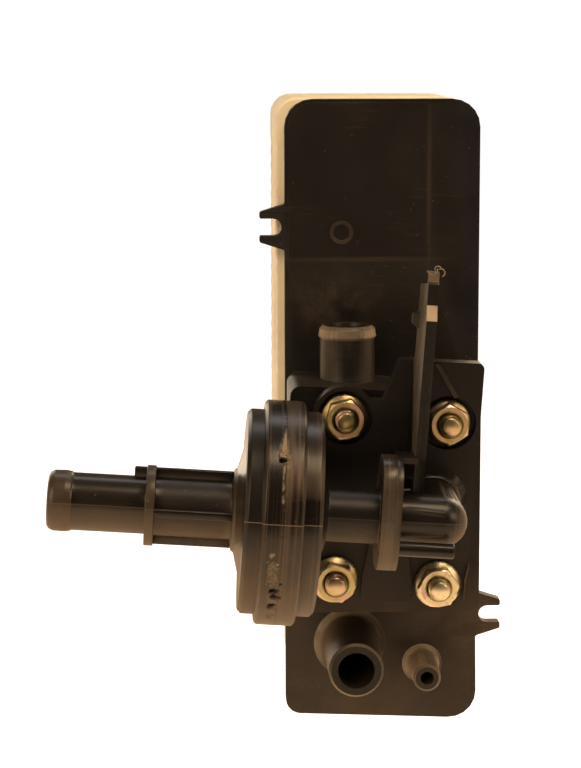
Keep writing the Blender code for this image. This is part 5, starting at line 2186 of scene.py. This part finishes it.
@dataclass
class Stage:
    """Pale floor, dark reflection board, lamps, world and camera.

    Attributes:
        floor_z: height of the floor in metres.
        reach: half the floor's width.
        wall_height: height of the walls.
        board_y: place of the dark board that the front faces mirror.
        board_size: half the board's width and its height.
        eye: the camera's place in millimetres.
        yaw: turn to the right in degrees.
        pitch: tilt down in degrees.
        roll: roll in degrees.
        lens: focal length in millimetres.
        paper_tones: paler and deeper tone of the paper.
        paper_glow: how bright the paper looks to the camera and to gloss.
        board_tones: deeper and paler tone of the board.
        matt: roughness of paper and board.
        glow: colour in which gloss shows the paper.
        room: colour of the room over the paper.
        lamps: the studio lamps.
    """

    floor_z: float = -0.205
    reach: float = 6.0
    wall_height: float = 2.4
    board_y: float = -1.25
    board_size: Point = (2.5, 1.3)
    eye: Triple = (-48.71, -700.45, 106.9)
    yaw: float = 1.994
    pitch: float = 8.729
    roll: float = -0.14
    lens: float = 105.0
    paper_tones: tuple[Colour, Colour] = ((0.60, 0.59, 0.57), (0.56, 0.55, 0.53))
    paper_glow: float = 0.96
    board_tones: tuple[Colour, Colour] = ((0.047, 0.045, 0.044), (0.074, 0.070, 0.068))
    matt: float = 0.9
    glow: Colour = (1.0, 0.64, 0.36)
    room: Colour = (0.16, 0.122, 0.088)
    lamps: tuple[SoftBox, ...] = (
        SoftBox("left_box", (-0.92, -1.0, 0.60), (0.0, -0.08, 0.0), (1.0, 1.0), 12.0),
        SoftBox("front_fill", (-0.45, -0.95, 0.02), (0.0, -0.08, -0.04), (0.4, 0.4), 1.0, shine=False),
        SoftBox("high_fill", (-0.20, -0.90, 0.55), (0.0, -0.08, -0.04), (0.4, 0.4), 1.9, shine=False),
        SoftBox("right_box", (1.10, -0.80, 0.62), (0.0, -0.08, 0.0), (0.6, 0.6), 6.0),
        SoftBox("key_strip", (0.25, -0.42, 0.93), (0.0, -0.08, 0.0), (0.5, 0.2), 4.6),
        SoftBox("rear_strip", (0.0, 0.42, 1.0), (0.0, -0.08, 0.0), (0.9, 0.25), 2.0, (1.0, 0.94, 0.90)),
        SoftBox("rim_box", (-0.60, 0.95, 0.05), (-0.05, -0.12, -0.02), (0.6, 1.4), 7.0, RIM, fills=False),
        SoftBox("right_rim", (0.60, 0.95, 0.10), (0.0, -0.12, -0.02), (0.6, 1.2), 4.5, RIM, fills=False),
        SoftBox("back_box", (0.5, 0.9, 0.6), (0.0, -0.05, 0.0), (0.7, 0.7), 6.0),
    )

    def paper(self) -> Material:
        """Builds the floor's pale paper, which shows white and keeps soft shadows.

        Returns:
            The material.
        """
        material, desk, shader = new_material("pale_paper")
        tone = desk.cloud(desk.object_coordinates(), Cloud(3.0, 0.3, 0.7))
        path = desk.node("ShaderNodeLightPath").outputs
        gloss = desk.larger(path["Is Glossy Ray"], path["Is Transmission Ray"])
        seen = desk.larger(path["Is Camera Ray"], gloss)
        desk.feed(shader, {
            "Base Color": desk.mix(tone, *self.paper_tones),
            "Roughness": self.matt,
            "Emission Color": desk.mix(path["Is Camera Ray"], self.glow, (1.0, 1.0, 1.0)),
            "Emission Strength": desk.times(seen, self.paper_glow),
        })
        return material

    def board_paint(self) -> Material:
        """Builds the board's dark paint.

        Returns:
            The material.
        """
        material, desk, shader = new_material("board_paint")
        tone = desk.noise(desk.object_coordinates(), 4.0, 2.0)
        desk.feed(shader, {"Base Color": desk.mix(tone, *self.board_tones), "Roughness": self.matt})
        return material

    def sheet(self, name: str, corners: Sequence[Triple], material: Material) -> bpy.types.Object:
        """Adds one flat stage sheet.

        Args:
            name: its name.
            corners: its four corners in metres.
            material: its material.

        Returns:
            The sheet.
        """
        mesh = bpy.data.meshes.new(name)
        mesh.from_pydata(corners, [], [(0, 1, 2, 3)])
        mesh.materials.append(material)
        made = linked(name, mesh)
        return made

    def build_world(self) -> None:
        """Makes the room over the paper dim and warm."""
        world = bpy.data.worlds.new("studio")
        world.use_nodes = True
        bpy.context.scene.world = world
        shine = world.node_tree.nodes["Background"]
        shine.inputs["Color"].default_value = (*self.room, 1.0)
        shine.inputs["Strength"].default_value = 1.0

    def build_camera(self) -> None:
        """Places the camera at the photograph's view."""
        yaw, pitch, roll = radians(self.yaw), radians(self.pitch), radians(self.roll)
        ahead = Vector((sin(yaw) * cos(pitch), cos(yaw) * cos(pitch), -sin(pitch)))
        right = Vector((cos(yaw), -sin(yaw), 0.0))
        level = right * cos(roll) + right.cross(ahead) * sin(roll)
        lens = bpy.data.cameras.new("photo_view")
        lens.lens = self.lens
        lens.sensor_width = 36.0
        lens.sensor_fit = "AUTO"
        lens.clip_start = 0.01
        eye = bpy.data.objects.new("photo_view", lens)
        bpy.context.scene.collection.objects.link(eye)
        turn = Matrix((level, level.cross(ahead), -ahead)).transposed().to_4x4()
        eye.matrix_world = Matrix.Translation(Vector(self.eye) * MM) @ turn
        bpy.context.scene.camera = eye

    def build(self) -> None:
        """Builds the stage."""
        self.build_camera()
        z = self.floor_z
        far = self.reach
        paper = self.paper()
        ring = [(-far, -far), (far, -far), (far, far), (-far, far)]
        self.sheet("floor", [(x, y, z) for x, y in ring], paper)
        top = z + self.wall_height
        for number, (x0, y0) in enumerate(ring):
            x1, y1 = ring[(number + 1) % len(ring)]
            corners = [(x0, y0, z), (x1, y1, z), (x1, y1, top), (x0, y0, top)]
            wall = self.sheet(f"wall_{number}", corners, paper)
            wall.visible_glossy = y0 < far or y1 < far
        half, height = self.board_size
        y = self.board_y
        board = [(-half, y, z), (-half, y, z + height), (half, y, z + height), (half, y, z)]
        dark = self.sheet("front_board", board, self.board_paint())
        dark.visible_camera = False
        dark.visible_shadow = False
        for lamp in self.lamps:
            lamp.build()
        self.build_world()
        bpy.context.scene.view_settings.view_transform = "Standard"


def main() -> None:
    """Builds the stage and every sub-assembly in order."""
    logging.basicConfig(level=logging.INFO, format="%(name)s: %(message)s")
    Stage().build()
    effects = Effects()
    materials = {slot: finish.build(effects) for slot, finish in FINISHES.items()}
    bench = Bench(materials, wound_wire(), strewn_crumbs())
    for part in (Shell, Cover, Fasteners, Drum, CheckValve, FloatGear):
        part(bench).build()


if __name__ == "__main__":
    main()
